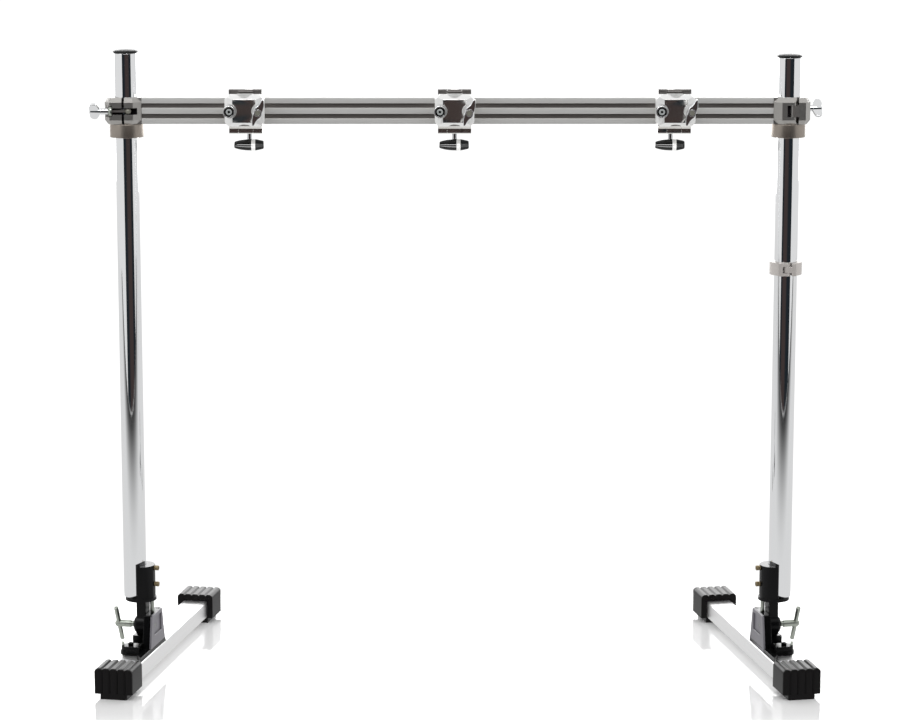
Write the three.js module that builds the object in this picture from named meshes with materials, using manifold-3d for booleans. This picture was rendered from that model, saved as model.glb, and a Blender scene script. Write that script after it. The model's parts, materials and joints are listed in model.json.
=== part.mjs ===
// A free-standing rack frame: a grooved aluminium bar held between two chrome posts by hinged end
// clamps, three accessory clamps on the bar, and two folding leg bases with toed-in floor bars.
// Millimetres, +Z up. The origin is on the floor at the middle of the frame's outline, and the
// front is towards -Y.

import * as THREE from 'three';
import { mergeVertices } from 'three/addons/utils/BufferGeometryUtils.js';
import Module from 'manifold-3d';

const wasm = await Module();
wasm.setup();

// Clearances shared by the pieces.
const SEAT_GAP = 0.3; // between faces that rest on each other
const SLIP_GAP = 0.3; // around a shaft in its hole
const OVERRUN = 1; // by which every cut passes the faces that it opens

// Facets on round shapes.
const FINE = 32;
const MEDIUM = 18;
const COARSE = 12;
const ARC_STEPS = 6;

// The frame's main sizes.
const POST_SPACING = 1095; // between the posts' centre lines
const POST_DIAMETER = 38.1;
const POST_WALL = 1.6;
const POST_LENGTH = 921.7;
const RIGHT_POST_SHORTER = 7.5; // the right post ends this much lower
const POST_BOTTOM = 130; // height of the posts' lower ends above the floor
const BAR_DROP = 93.7; // from the posts' upper ends down to the bar's centre line
const BAR_CENTRE = POST_BOTTOM + POST_LENGTH - BAR_DROP; // height above the floor
const TOE_IN = THREE.MathUtils.degToRad(11.3); // the floor bars' rear ends turn inwards

// The crossbar, an extruded box with two shallow grooves along its front and back.
const BAR_HEIGHT = 43.5;
const BAR_DEPTH = 40;
const BAR_WALL = 2.6;
const BAR_CORNER = 1.8;
const GROOVE_DEPTH = 2.2;
const GROOVE_HEIGHT = 7.5;
const GROOVE_OFFSET = 8.7; // from the bar's centre line to a groove's middle

// An end clamp: a casting plugged into the bar and an outer jaw hinged to it, round a post.
const END_CLAMP = {
  height: 44,
  bevelRise: 7.4,
  bevelRun: 5.5,
  barFace: 27, // from the post's axis to the end of the bar
  frontFace: 31, // from the post's axis to the flat front and back
  shoulder: 13.7, // where the front face turns in towards the bar
  outerShoulder: 25, // where the front face turns in on the outer side
  outerFace: 33.5,
  outerFaceHalf: 19,
  spigotLength: 25,
  closureGap: 3.9, // the slit between the jaws at the bolt
  closureOffset: 2.9, // from the post's axis out to that slit
  hingeGap: 3.5, // the notch behind the hinge knuckles
  hingeOffset: 12, // from the post's axis out to that notch
  pinOffset: 5.2, // from the post's axis out to the hinge pin
  windowReach: 5.2, // from the post's axis in to the end of the window beside the tongue
  pinRadius: 2.4,
  pinLength: 35,
  knuckleRadius: 5,
  tongueHalf: 9.2,
};

// The swing bolt that closes an end clamp, with its washer and wing nut.
const SWING = {
  boltRadius: 3.2,
  eyeRadius: 5,
  eyeOffset: 5.6, // from the post's axis towards the bar
  line: 25.9, // from the post's axis to the bolt's centre line
  pinRadius: 1.75,
  pinLength: 30,
  slotHalf: 5.3,
  slotEnd: 20.3, // the slot's end on the bar side
  slotDepth: 10.4, // from the front face
  seatRadius: 26.6, // of the washer's seat, about the eye
  pocketHalf: 9.5,
  washerRadius: 9,
  washerThickness: 5.6,
  travel: 6.25, // of the washer as the nut is slackened
  nutHubRadius: 5.5,
  nutNeck: 13,
  nutLength: 31,
  nutSpan: 36,
  nutThickness: 4.6,
  nutCover: 5, // of the nut past the bolt's end
  earSlope: 7, // of the nut's ears from the neck to their full height
  earCorner: 6,
  nutTurn: THREE.MathUtils.degToRad(42),
};

// The collars on the posts.
const STOP_COLLAR = { radius: 28, height: 22.4, slit: 2.4 };
const MEMORY_COLLAR = {
  radius: 27,
  height: 21,
  drop: 264, // below the bar's centre line
  blockHalf: 15, // half width of the flat block at the hinge
  blockFace: 29,
  pinRadius: 2,
  knuckleRadius: 4.7,
  tongueHalf: 5,
  notch: 3,
};

// The cap that closes the top of a post.
const CAP = { rimRadius: 20.6, rimHeight: 0.9, dome: 3.1, underCut: 1.6, plugRadius: 17, plugLength: 14 };

// The saddle that carries a post on its leg base. Distances inwards are from the post's axis.
const SADDLE = {
  arcRadius: 24.6,
  arcCentre: 10,
  shellStart: 9.5,
  top: 185,
  flangeRadius: 26.5,
  flangeThickness: 5.5,
  neckOuter: 5.2,
  neckInner: 21.2,
  neckHalf: 13,
  tongueRadius: 20,
  boltHeights: [152, 180],
  boltRadius: 3,
  boltHeadRadius: 4.4,
  boltHeadLength: 7,
};
const PIVOT_HEIGHT = 80; // of the tilt axis above the floor

// The tilt bracket on the floor bar: an upright cheek, a base plate, a stubby arm across the bar
// and a low lug under the tilt bolt. Lengths along the bar are forwards or backwards of the post.
const BRACKET = {
  cheekInner: 21.5,
  cheekOuter: 37,
  cheekTop: 102,
  cheekTopFront: 25,
  cheekTopRear: 32,
  cheekFront: 37,
  cheekRear: 48,
  recessDepth: 1.6,
  recessBottom: 66,
  recessTop: 95,
  recessFront: 14,
  recessRear: 28,
  baseTop: 47.4,
  hornFront: 97,
  hornRear: 80,
  hornInner: 25,
  armFront: 58,
  armRear: 31,
  armOuter: 13.5,
  armLayer: 7.8,
  armWaist: 1.6,
  lugRear: 20,
  lugInner: 17,
  lugTop: 59.2,
};

// The tilt bolt with its crossbar, and the domed washer under it.
const TILT = {
  washerRadius: 15.6,
  washerThickness: 8.2,
  shankRadius: 4,
  shankEnd: 34,
  collarRadius: 4.6,
  collarLength: 3.7,
  hubRadius: 6.1,
  hubLength: 29.2,
  rodRadius: 2.9,
  rodLength: 72,
  rodInset: 6.9, // from the hub's end to the crossbar
  travel: 3,
  lean: THREE.MathUtils.degToRad(28),
};

// The spur that pins a floor bar to a carpet.
const SPUR = { radius: 2.3, outwards: 9.7, proud: 5, tipHeight: 3, tipLength: 5 };

// The floor bars and their feet. Lengths are along the bar.
const FLOOR_BAR = { width: 44, height: 30, wall: 2.5, bottom: 9.6, centre: 15, frontReach: 178, rearReach: 364 };
const FOOT = {
  width: 65,
  height: 52,
  length: 58,
  endWall: 5,
  corner: 7,
  padWidth: 46,
  padStep: 9,
  ribs: 4,
  grooveWidth: 2.6,
  grooveDepth: 1.8,
};

// An accessory clamp on the bar, with a pipe clamp on its front.
const CLAMP_PLACES = [-348.4, -5, 356.3];
const CLAMP = {
  width: 54.5,
  ridgeLine: 28, // from the bar's centre line forwards
  ridgeHeight: 32,
  ridgeRadius: 4.4,
  ridgeChamfer: 1.4,
  ridgeGroove: 0.9,
  knuckleWidth: 24,
  pinRadius: 1.9,
  bodyFront: 38,
  bodyHalf: 28,
  bodyBevel: 5,
  plateThickness: 5.3, // of the upper jaw, over the bar
  floorThickness: 10, // of the body, under the bar
  boltLine: 58, // from the bar's centre line backwards
  bossRadius: 11,
  upperBoss: 17,
  lowerBoss: 20,
  jawBoltSlip: 1.8,
};
const PIPE = {
  radius: 12.9,
  line: 56, // from the bar's centre line to the pipe's axis
  centre: 4.6, // height above the bar's centre line
  parting: 2.5,
  earThickness: 10.5,
  jawThickness: 11.5,
  edgeThickness: 7.2, // of the jaw at its outer edge, where its four slopes end
  padProud: 3, // of the jaw's flat pad past its bolt seats
  padHalf: 19,
  width: 64.5,
  height: 51.5,
  chamfer: 7,
  coreHalf: 20,
  boltSpacing: 23.9, // from the pipe's axis to each bolt
  recessRadius: 11.5,
  recessDepth: 1.5,
  travel: 5,
};
const SOCKET_BOLT = {
  cupRadius: 9.8,
  cupLength: 16.4,
  ringOuter: 8.4,
  ringInner: 5.6,
  ringDepth: 3,
  socketRadius: 3.2,
  socketDepth: 6,
  shankRadius: 3.5,
};
const LEVER_NUT = {
  hubRadius: 6,
  hubLength: 32.5,
  studRadius: 3.8,
  studProud: 2,
  thickness: 8,
  setBack: 4, // of the wings from the hub's end
  reach: 22,
};
const HANDLE = {
  shankRadius: 4,
  stemRadius: 4.8,
  shoulderRadius: 8,
  shoulder: 2.4,
  stemLength: 10.35,
  middleRadius: 9.6,
  gripLeft: 25.5, // from the stem to the grip's left end
  gripLength: 49.5,
};

// Half of the lever nut's outline as shares of its reach, from right to left over the top. The
// other half is the same turned half round.
const WING_SHARES = [
  [0.41, 0.27],
  [0.44, 0.59],
  [0.45, 0.92],
  [0.38, 1],
  [0.29, 0.96],
  [0.08, 0.66],
  [-0.16, 0.47],
  [-0.34, 0.23],
];
// The grip's radius as a share of its middle one, and the place of it as a share of its length.
const GRIP_SHARES = [
  [0.38, 0],
  [0.56, 0.02],
  [0.77, 0.13],
  [0.93, 0.29],
  [0.99, 0.45],
  [1, 0.58],
  [0.97, 0.72],
  [0.85, 0.86],
  [0.72, 0.98],
  [0.58, 1],
];

// Sizes worked out from the ones above.
const POST_RADIUS = POST_DIAMETER / 2;
const BORE_RADIUS = POST_RADIUS + SLIP_GAP;
const POST_X = POST_SPACING / 2;
const FLOOR_TOP = FLOOR_BAR.bottom + FLOOR_BAR.height;
const FOOT_FRONT = FLOOR_BAR.frontReach + FOOT.endWall + SEAT_GAP;
const FOOT_REAR = FLOOR_BAR.rearReach + FOOT.endWall + SEAT_GAP;
const FOOT_HALF = FOOT.width / 2;
const POST_TO_FRONT = FOOT_FRONT * Math.cos(TOE_IN) + (FLOOR_BAR.centre + FOOT_HALF) * Math.sin(TOE_IN);
const POST_TO_REAR = FOOT_REAR * Math.cos(TOE_IN) + (FOOT_HALF - FLOOR_BAR.centre) * Math.sin(TOE_IN);
const POST_Y = (POST_TO_FRONT - POST_TO_REAR) / 2;

// Colours, roughness and metalness of the finishes.
const FINISHES = {
  chrome: [0xd8dadc, 0.12, 1],
  castAluminium: [0xb4b4b2, 0.32, 1],
  polishedAluminium: [0xdcdcda, 0.18, 1],
  anodised: [0xafb0ae, 0.38, 1],
  nickel: [0x9a938a, 0.42, 1],
  zinc: [0xc8ccc4, 0.35, 1],
  bronze: [0xa08c6c, 0.36, 1],
  blackEnamel: [0x1b1d20, 0.3, 0],
  blackPlastic: [0x2a3030, 0.45, 0],
  blackRubber: [0x25262a, 0.62, 0],
};

function mesh(name, finish, geometry) {
  const [color, roughness, metalness] = FINISHES[finish];
  const piece = new THREE.Mesh(geometry, new THREE.MeshStandardMaterial({ color, roughness, metalness }));
  piece.name = name;
  return piece;
}

// Joins and cuts between closed geometries.
function toSolid(geometry) {
  const bare = geometry.clone();
  bare.deleteAttribute('normal');
  bare.deleteAttribute('uv');
  const merged = mergeVertices(bare);
  return new wasm.Manifold(
    new wasm.Mesh({
      numProp: 3,
      vertProperties: new Float32Array(merged.attributes.position.array),
      triVerts: new Uint32Array(merged.index.array),
    }),
  );
}

function toGeometry(solid) {
  const { vertProperties, triVerts, numProp } = solid.getMesh();
  const geometry = new THREE.BufferGeometry();
  geometry.setAttribute('position', new THREE.BufferAttribute(vertProperties, numProp));
  geometry.setIndex(new THREE.BufferAttribute(triVerts, 1));
  geometry.computeVertexNormals();
  return geometry;
}

function join(first, ...others) {
  return toGeometry(others.reduce((sum, next) => sum.add(toSolid(next)), toSolid(first)));
}

function cut(first, ...tools) {
  return toGeometry(tools.reduce((rest, tool) => rest.subtract(toSolid(tool)), toSolid(first)));
}

function common(first, second) {
  return toGeometry(toSolid(first).intersect(toSolid(second)));
}

// A box between two corners.
function box(x0, x1, y0, y1, z0, z1) {
  const geometry = new THREE.BoxGeometry(x1 - x0, y1 - y0, z1 - z0);
  return geometry.translate((x0 + x1) / 2, (y0 + y1) / 2, (z0 + z1) / 2);
}

// Turns a shape made along +Z so that it runs along the named axis.
function along(axis, geometry) {
  if (axis === 'x') return geometry.rotateX(Math.PI / 2).rotateZ(Math.PI / 2);
  if (axis === 'y') return geometry.rotateX(-Math.PI / 2);
  return geometry;
}

// A cylinder along an axis, from one coordinate to another, through the point at.
function rod(axis, radius, from, to, at = [0, 0, 0], facets = MEDIUM) {
  const geometry = new THREE.CylinderGeometry(radius, radius, to - from, facets);
  geometry.rotateX(Math.PI / 2).translate(0, 0, (from + to) / 2);
  return along(axis, geometry).translate(...at);
}

// A turned shape: rows of [radius, place along the axis], starting and ending on the axis. The
// rows may be listed either way.
function turned(axis, rows, at = [0, 0, 0], facets = MEDIUM) {
  const profile = rows.map(([radius, place]) => new THREE.Vector2(radius, place));
  if (THREE.ShapeUtils.area(profile) < 0) profile.reverse();
  const geometry = new THREE.LatheGeometry(profile, facets);
  return along(axis, geometry.rotateX(Math.PI / 2)).translate(...at);
}

// A turned ring: rows of [radius, place along the axis], closing on themselves.
function ring(axis, rows, at = [0, 0, 0], facets = FINE) {
  return turned(axis, [...rows, rows[0]], at, facets);
}

// A prism of the outline, pairs of numbers, from one coordinate of the axis to another. The pairs
// are x and y for axis z, x and z for axis y, y and z for axis x.
function prism(axis, outline, from, to) {
  const shape = new THREE.Shape(outline.map(([a, b]) => new THREE.Vector2(a, b)));
  const geometry = new THREE.ExtrudeGeometry(shape, { depth: to - from, bevelEnabled: false });
  if (axis === 'x') return geometry.rotateX(Math.PI / 2).rotateZ(Math.PI / 2).translate(from, 0, 0);
  if (axis === 'y') return geometry.rotateX(Math.PI / 2).translate(0, to, 0);
  return geometry.translate(0, 0, from);
}

// Points on an arc, for outlines. Angles are in quarter turns.
function arc(a, b, radius, from, to, steps = ARC_STEPS) {
  return Array.from({ length: steps + 1 }, (_, i) => {
    const angle = ((from + ((to - from) * i) / steps) * Math.PI) / 2;
    return [a + radius * Math.cos(angle), b + radius * Math.sin(angle)];
  });
}

// A copy of the geometry mirrored left to right, with its faces still pointing out.
function mirrored(geometry) {
  const bare = geometry.clone();
  bare.deleteAttribute('normal');
  bare.deleteAttribute('uv');
  const copy = mergeVertices(bare).scale(-1, 1, 1);
  const index = copy.index.array;
  for (let i = 0; i < index.length; i += 3) {
    [index[i], index[i + 1]] = [index[i + 1], index[i]];
  }
  copy.computeVertexNormals();
  return copy;
}

// The crossbar's outline, y and z, with its grooves on the front and on the back.
function barOutline() {
  const half = BAR_DEPTH / 2;
  const top = BAR_HEIGHT / 2;
  const floor = half - GROOVE_DEPTH;
  const outer = GROOVE_OFFSET + GROOVE_HEIGHT / 2;
  const inner = GROOVE_OFFSET - GROOVE_HEIGHT / 2;
  const steps = [outer, inner, -inner, -outer];
  const side = [[half - BAR_CORNER, top], [half, top - BAR_CORNER]];
  steps.forEach((z, i) => {
    const pair = [[half, z], [floor, z]];
    side.push(...(i % 2 === 0 ? pair : pair.reverse()));
  });
  side.push([half, BAR_CORNER - top], [half - BAR_CORNER, -top]);
  return [...side, ...side.map(([y, z]) => [-y, -z])].reverse();
}

function crossBar() {
  const end = POST_X - END_CLAMP.barFace;
  const hollowY = BAR_DEPTH / 2 - GROOVE_DEPTH - BAR_WALL;
  const hollowZ = BAR_HEIGHT / 2 - BAR_WALL;
  const bore = box(-end - OVERRUN, end + OVERRUN, -hollowY, hollowY, -hollowZ, hollowZ);
  return cut(prism('x', barOutline(), -end, end), bore);
}

// The closed end clamp before it is parted: x runs towards the bar, the closure faces -y.
function clampBlock() {
  const c = END_CLAMP;
  const outline = [
    [c.barFace, -BAR_DEPTH / 2],
    [c.barFace, BAR_DEPTH / 2],
    [c.shoulder, c.frontFace],
    [-c.outerShoulder, c.frontFace],
    [-c.outerFace, c.outerFaceHalf],
    [-c.outerFace, -c.outerFaceHalf],
    [-c.outerShoulder, -c.frontFace],
    [c.shoulder, -c.frontFace],
  ];
  const shape = new THREE.Shape(outline.map(([x, y]) => new THREE.Vector2(x, y)));
  const bevelled = new THREE.ExtrudeGeometry(shape, {
    depth: c.height - c.bevelRise * 2,
    bevelThickness: c.bevelRise,
    bevelSize: c.bevelRun,
    bevelOffset: -c.bevelRun,
    bevelSegments: 1,
  }).translate(0, 0, c.bevelRise - c.height / 2);
  const neck = box(0, c.barFace - SEAT_GAP, -BAR_DEPTH / 2, BAR_DEPTH / 2, -BAR_HEIGHT / 2, BAR_HEIGHT / 2);
  const bore = rod('z', BORE_RADIUS, -c.height, c.height, [0, 0, 0], FINE);
  const slot = box(
    -c.outerFace - OVERRUN,
    SWING.slotEnd,
    -c.frontFace - OVERRUN,
    SWING.slotDepth - c.frontFace,
    -SWING.slotHalf,
    SWING.slotHalf,
  );
  const trim = box(c.barFace - SEAT_GAP, c.barFace + OVERRUN, -c.frontFace, c.frontFace, -c.height, c.height);
  return cut(join(bevelled, neck), bore, slot, trim, washerPocket());
}

// The pocket that the washer lies in. Its floor is round about the swing bolt's eye, so that the
// washer leaves it freely when the bolt swings out.
function washerPocket() {
  const c = END_CLAMP;
  const half = SWING.pocketHalf;
  const rear = half - SWING.line;
  const start = SWING.eyeOffset - SWING.seatRadius * Math.cos(Math.asin(half / SWING.seatRadius));
  const space = box(-c.outerFace - OVERRUN, start, -c.frontFace - OVERRUN, rear, -half, half);
  const seat = rod('z', SWING.seatRadius, -c.height, c.height, [SWING.eyeOffset, -SWING.line, 0], FINE * 2);
  return cut(space, seat);
}

// The part of the clamp on the outer side of both slits.
function outerRegion() {
  const c = END_CLAMP;
  const far = c.outerFace + OVERRUN;
  const deep = c.frontFace + OVERRUN;
  const closure = -c.closureOffset - c.closureGap / 2;
  const hinge = -c.hingeOffset - c.hingeGap / 2;
  return join(
    box(-far, closure, -deep, 0, -c.height, c.height),
    box(-far, hinge, -SEAT_GAP, deep, -c.height, c.height),
  );
}

// A hinge knuckle of the end clamp: round about the pin, and carried on to x = reach.
function knuckle(low, high, reach) {
  const c = END_CLAMP;
  const line = c.frontFace - c.knuckleRadius;
  const [x0, x1] = reach < -c.pinOffset ? [reach, -c.pinOffset] : [-c.pinOffset, reach];
  const round = rod('z', c.knuckleRadius, low, high, [-c.pinOffset, line, 0]);
  return join(round, box(x0, x1, line - c.knuckleRadius, c.frontFace, low, high));
}

function knuckleHole() {
  const c = END_CLAMP;
  const at = [-c.pinOffset, c.frontFace - c.knuckleRadius, 0];
  return rod('z', c.pinRadius + SLIP_GAP, -c.height, c.height, at);
}

// The casting on the bar, with the two pins that are pressed into it.
function endCasting() {
  const c = END_CLAMP;
  const far = c.barFace + OVERRUN;
  const deep = c.frontFace + OVERRUN;
  const closure = c.closureGap / 2 - c.closureOffset;
  const hinge = c.hingeGap / 2 - c.hingeOffset;
  const region = join(
    box(closure, far, -deep, 0, -c.height, c.height),
    box(hinge, far, -SEAT_GAP, deep, -c.height, c.height),
  );
  const line = c.frontFace - c.knuckleRadius;
  const tongueRoom = join(
    rod('z', c.knuckleRadius + SEAT_GAP, -c.tongueHalf - SEAT_GAP, c.tongueHalf + SEAT_GAP, [-c.pinOffset, line, 0]),
    box(-far, -c.pinOffset, 0, deep, -c.tongueHalf - SEAT_GAP, c.tongueHalf + SEAT_GAP),
    box(-c.pinOffset, c.windowReach, line, deep, -c.tongueHalf - SEAT_GAP, c.tongueHalf + SEAT_GAP),
  );
  const roundEnd = cut(
    box(-far, -c.pinOffset, line - c.knuckleRadius, deep, -c.height, c.height),
    rod('z', c.knuckleRadius, -c.height, c.height, [-c.pinOffset, line, 0]),
  );
  const hingePin = rod('z', c.pinRadius, -c.pinLength / 2, c.pinLength / 2, [-c.pinOffset, line, 0], COARSE);
  const eyePin = rod('z', SWING.pinRadius, -SWING.pinLength / 2, SWING.pinLength / 2, [
    SWING.eyeOffset,
    -SWING.line,
    0,
  ], COARSE);
  const hollowY = BAR_DEPTH / 2 - GROOVE_DEPTH - BAR_WALL - SEAT_GAP;
  const hollowZ = BAR_HEIGHT / 2 - BAR_WALL - SEAT_GAP;
  const spigot = box(
    c.barFace - SEAT_GAP * 2,
    c.barFace + c.spigotLength,
    -hollowY,
    hollowY,
    -hollowZ,
    hollowZ,
  );
  return join(cut(common(clampBlock(), region), tongueRoom, roundEnd), hingePin, eyePin, spigot);
}

function clampJaw() {
  const c = END_CLAMP;
  const body = common(clampBlock(), outerRegion());
  const tongue = knuckle(-c.tongueHalf, c.tongueHalf, -c.hingeOffset - c.hingeGap);
  const bore = rod('z', BORE_RADIUS, -c.height, c.height, [0, 0, 0], FINE);
  return cut(join(body, tongue), knuckleHole(), bore);
}

// The swing bolt: a ball eye round its pin and a shank that runs outwards.
function swingBolt() {
  const s = SWING;
  const end = s.seatRadius + SEAT_GAP + s.washerThickness + s.nutLength - s.nutCover;
  const shank = rod('x', s.boltRadius, -end, 0);
  const eye = new THREE.SphereGeometry(s.eyeRadius, MEDIUM, COARSE).rotateX(Math.PI / 2);
  return cut(join(shank, eye), rod('z', s.pinRadius + SLIP_GAP, -s.eyeRadius * 2, s.eyeRadius * 2));
}

// The washer, flat towards the clamp and domed towards the nut. Its axis is the bolt's.
function boltWasher() {
  const s = SWING;
  const near = -s.seatRadius - SEAT_GAP;
  const hole = s.boltRadius + SLIP_GAP;
  return ring('x', [
    [hole, near],
    [hole, near - s.washerThickness],
    [s.nutHubRadius, near - s.washerThickness],
    [s.washerRadius, near - s.washerThickness / 2],
    [s.washerRadius, near],
  ], [0, 0, 0], MEDIUM);
}

// The wing nut: a waisted hub, blind at its outer end, with two flat ears.
function wingNut() {
  const s = SWING;
  const start = -s.seatRadius - SEAT_GAP * 2 - s.washerThickness;
  const neckEnd = start - s.nutNeck;
  const end = start - s.nutLength;
  const hub = turned('x', [
    [0, start],
    [s.nutHubRadius, start],
    [s.nutHubRadius, neckEnd],
    [s.nutHubRadius * NUT_TIP_SHARE, end],
    [0, end],
  ]);
  const half = s.nutSpan / 2;
  const corner = half - s.earCorner;
  const ear = [
    [neckEnd, s.nutHubRadius / 2],
    [neckEnd - s.earSlope / 2, corner],
    [neckEnd - s.earSlope, half],
    ...arc(end + s.earCorner, corner, s.earCorner, 1, 2, ARC_STEPS / 2),
  ];
  const outline = [...ear, ...ear.map(([x, z]) => [x, -z]).reverse()];
  const ears = prism('y', outline, -s.nutThickness / 2, s.nutThickness / 2);
  const bore = rod('x', s.boltRadius + SLIP_GAP, end + s.nutCover - SEAT_GAP, start + OVERRUN);
  return cut(join(hub, ears), bore).rotateX(s.nutTurn);
}
const NUT_TIP_SHARE = 0.82;

// A post, its cap and the collars on it. Their origin is on the post's axis, on the floor.
function post(length) {
  const top = POST_BOTTOM + length;
  const inner = POST_RADIUS - POST_WALL;
  return ring('z', [[inner, POST_BOTTOM], [POST_RADIUS, POST_BOTTOM], [POST_RADIUS, top], [inner, top]]);
}

function postCap(length) {
  const base = POST_BOTTOM + length + SEAT_GAP;
  const rim = base + CAP.underCut;
  const crown = rim + CAP.rimHeight;
  const plug = Math.min(CAP.plugRadius, POST_RADIUS - POST_WALL - SLIP_GAP);
  const domePoints = arc(0, 0, 1, 0, 1, ARC_STEPS / 2).slice(0, -1);
  return turned('z', [
    [0, base - CAP.plugLength],
    [plug, base - CAP.plugLength],
    [plug, base],
    [POST_RADIUS, base],
    [CAP.rimRadius, rim],
    ...domePoints.map(([run, rise]) => [CAP.rimRadius * run, crown + CAP.dome * rise]),
    [0, crown + CAP.dome],
  ], [0, 0, 0], FINE);
}

function stopCollar() {
  const c = STOP_COLLAR;
  const top = BAR_CENTRE - END_CLAMP.height / 2 - SEAT_GAP;
  const bottom = top - c.height;
  const body = ring('z', [[BORE_RADIUS, bottom], [c.radius, bottom], [c.radius, top], [BORE_RADIUS, top]]);
  const slit = box(-c.slit / 2, c.slit / 2, 0, c.radius + OVERRUN, bottom - OVERRUN, top + OVERRUN);
  return cut(body, slit);
}

// The memory collar, whole: a ring with a flat block in front for its hinge.
function memoryBlank() {
  const c = MEMORY_COLLAR;
  const half = c.height / 2;
  const disc = rod('z', c.radius, -half, half, [0, 0, 0], FINE);
  const block = box(-c.blockHalf, c.blockHalf, -c.blockFace, 0, -half, half);
  return cut(join(disc, block), rod('z', BORE_RADIUS, -c.height, c.height, [0, 0, 0], FINE));
}

// One half of the memory collar. The band, on the side of -x, has two outer knuckles, and the
// gate one between them.
function memoryHalf(isGate) {
  const c = MEMORY_COLLAR;
  const far = c.blockFace + OVERRUN;
  const half = c.height / 2 + OVERRUN;
  const line = -c.blockFace + c.knuckleRadius;
  const tongue = c.tongueHalf;
  const clear = c.knuckleRadius + c.notch;
  const pinHole = rod('z', c.pinRadius + SLIP_GAP, -c.height, c.height, [0, line, 0], COARSE);
  const round = rod('z', c.knuckleRadius, -half, half, [0, line, 0], COARSE);
  const rear = box(SEAT_GAP, far, line, far, -half, half);
  const blank = memoryBlank();
  if (isGate) {
    const front = box(clear, far, -far, line, -half, half);
    const knuckleZone = box(-far, clear + OVERRUN, -far, line + c.knuckleRadius, -tongue, tongue);
    const inner = box(0, clear + OVERRUN, -far, line + c.knuckleRadius, -tongue, tongue);
    const roundPart = common(common(blank, round), knuckleZone);
    const rearPart = cut(common(blank, rear), box(-far, clear, -far, line + clear, -half, half));
    return cut(join(common(blank, front), rearPart, common(blank, inner), roundPart), pinHole);
  }
  const left = box(-far, -SEAT_GAP, -far, far, -half, half);
  const lugs = join(
    box(-far, far, -far, far, tongue + SEAT_GAP, half),
    box(-far, far, -far, far, -half, -tongue - SEAT_GAP),
  );
  const room = box(-clear, far, -far, line + clear, -tongue - SEAT_GAP, tongue + SEAT_GAP);
  return cut(join(cut(common(blank, left), room), common(common(blank, round), lugs)), pinHole);
}

// The saddle: a half-round shell on the inner side of the post, a flange under the post's end, and
// a neck down to the round tongue on the tilt axis. x runs inwards.
function saddle() {
  const s = SADDLE;
  const flangeTop = POST_BOTTOM - SEAT_GAP;
  const flangeBottom = flangeTop - s.flangeThickness;
  const outline = [
    [s.shellStart, -s.arcRadius],
    ...arc(s.arcCentre, 0, s.arcRadius, -1, 1, ARC_STEPS * 2),
    [s.shellStart, s.arcRadius],
  ];
  const shell = prism('z', outline, flangeTop - OVERRUN, s.top);
  const bore = rod('z', BORE_RADIUS, flangeTop, s.top + OVERRUN, [0, 0, 0], FINE);
  const flange = rod('z', s.flangeRadius, flangeBottom, flangeTop, [s.arcCentre, 0, 0], FINE);
  const neck = box(s.neckOuter, s.neckInner, -s.neckHalf, s.neckHalf, PIVOT_HEIGHT, flangeBottom + OVERRUN);
  const tongue = rod('x', s.tongueRadius, s.neckOuter, s.neckInner, [0, 0, PIVOT_HEIGHT], FINE);
  const hole = rod('x', TILT.shankRadius + SLIP_GAP, 0, s.flangeRadius * 2, [0, 0, PIVOT_HEIGHT]);
  const boltHoles = s.boltHeights.map((z) => rod('x', s.boltRadius + SLIP_GAP, 0, s.flangeRadius * 2, [0, 0, z], COARSE));
  return cut(join(cut(shell, bore), flange, neck, tongue), hole, ...boltHoles);
}

// A bolt through the saddle, its head on the inner side and its end just short of the post.
function saddleBolt(z) {
  const s = SADDLE;
  const face = s.arcCentre + s.arcRadius + SEAT_GAP;
  return turned('x', [
    [0, BORE_RADIUS],
    [s.boltRadius, BORE_RADIUS],
    [s.boltRadius, face],
    [s.boltHeadRadius, face],
    [s.boltHeadRadius, face + s.boltHeadLength],
    [0, face + s.boltHeadLength],
  ], [0, 0, z], COARSE);
}

// The tilt bracket: the cheek with its bare recess, the base plate that runs out into a horn, the
// two-layer arm in front of the post and the lug under the tilt bolt.
function tiltBracket() {
  const b = BRACKET;
  const base = FLOOR_TOP + SEAT_GAP;
  const edge = FLOOR_BAR.centre - FLOOR_BAR.width / 2;
  const cheek = prism('x', [
    [-b.cheekFront, base],
    [b.cheekRear, base],
    [b.cheekTopRear, b.cheekTop],
    [-b.cheekTopFront, b.cheekTop],
  ], b.cheekInner, b.cheekOuter);
  const recess = box(
    b.cheekOuter - b.recessDepth,
    b.cheekOuter + OVERRUN,
    -b.recessFront,
    b.recessRear,
    b.recessBottom,
    b.recessTop,
  );
  const plate = prism('z', [
    [b.cheekOuter, -b.hornFront],
    [b.cheekOuter, b.cheekRear],
    [edge, b.cheekRear],
    [edge, -b.armFront],
    [b.cheekInner, -b.armFront],
    [b.hornInner, -b.hornRear],
  ], base, b.baseTop);
  const layers = [0, 1].map((i) => armLayer(base + i * b.armLayer, i));
  const lug = box(edge, b.lugInner, 0, b.lugRear, base, b.lugTop);
  const hole = rod('x', TILT.shankRadius + SLIP_GAP, 0, TILT.shankEnd + SEAT_GAP, [0, 0, PIVOT_HEIGHT]);
  const spurHole = rod('z', SPUR.radius + SLIP_GAP, 0, b.cheekTop, [-SPUR.outwards, -(b.armFront + b.armRear) / 2, 0], COARSE);
  return cut(join(cheek, plate, ...layers, lug), recess, hole, spurHole);
}

// One of the arm's two layers, round at its outer end. The upper one stands a little short.
function armLayer(bottom, index) {
  const b = BRACKET;
  const line = -(b.armFront + b.armRear) / 2;
  const half = (b.armFront - b.armRear) / 2;
  const centre = half - b.armOuter + index * b.armWaist;
  const outline = [[b.cheekInner + OVERRUN, line - half], [b.cheekInner + OVERRUN, line + half], ...arc(centre, line, half, 1, 3)];
  return prism('z', outline, bottom, bottom + b.armLayer + (index ? 0 : OVERRUN));
}

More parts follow.
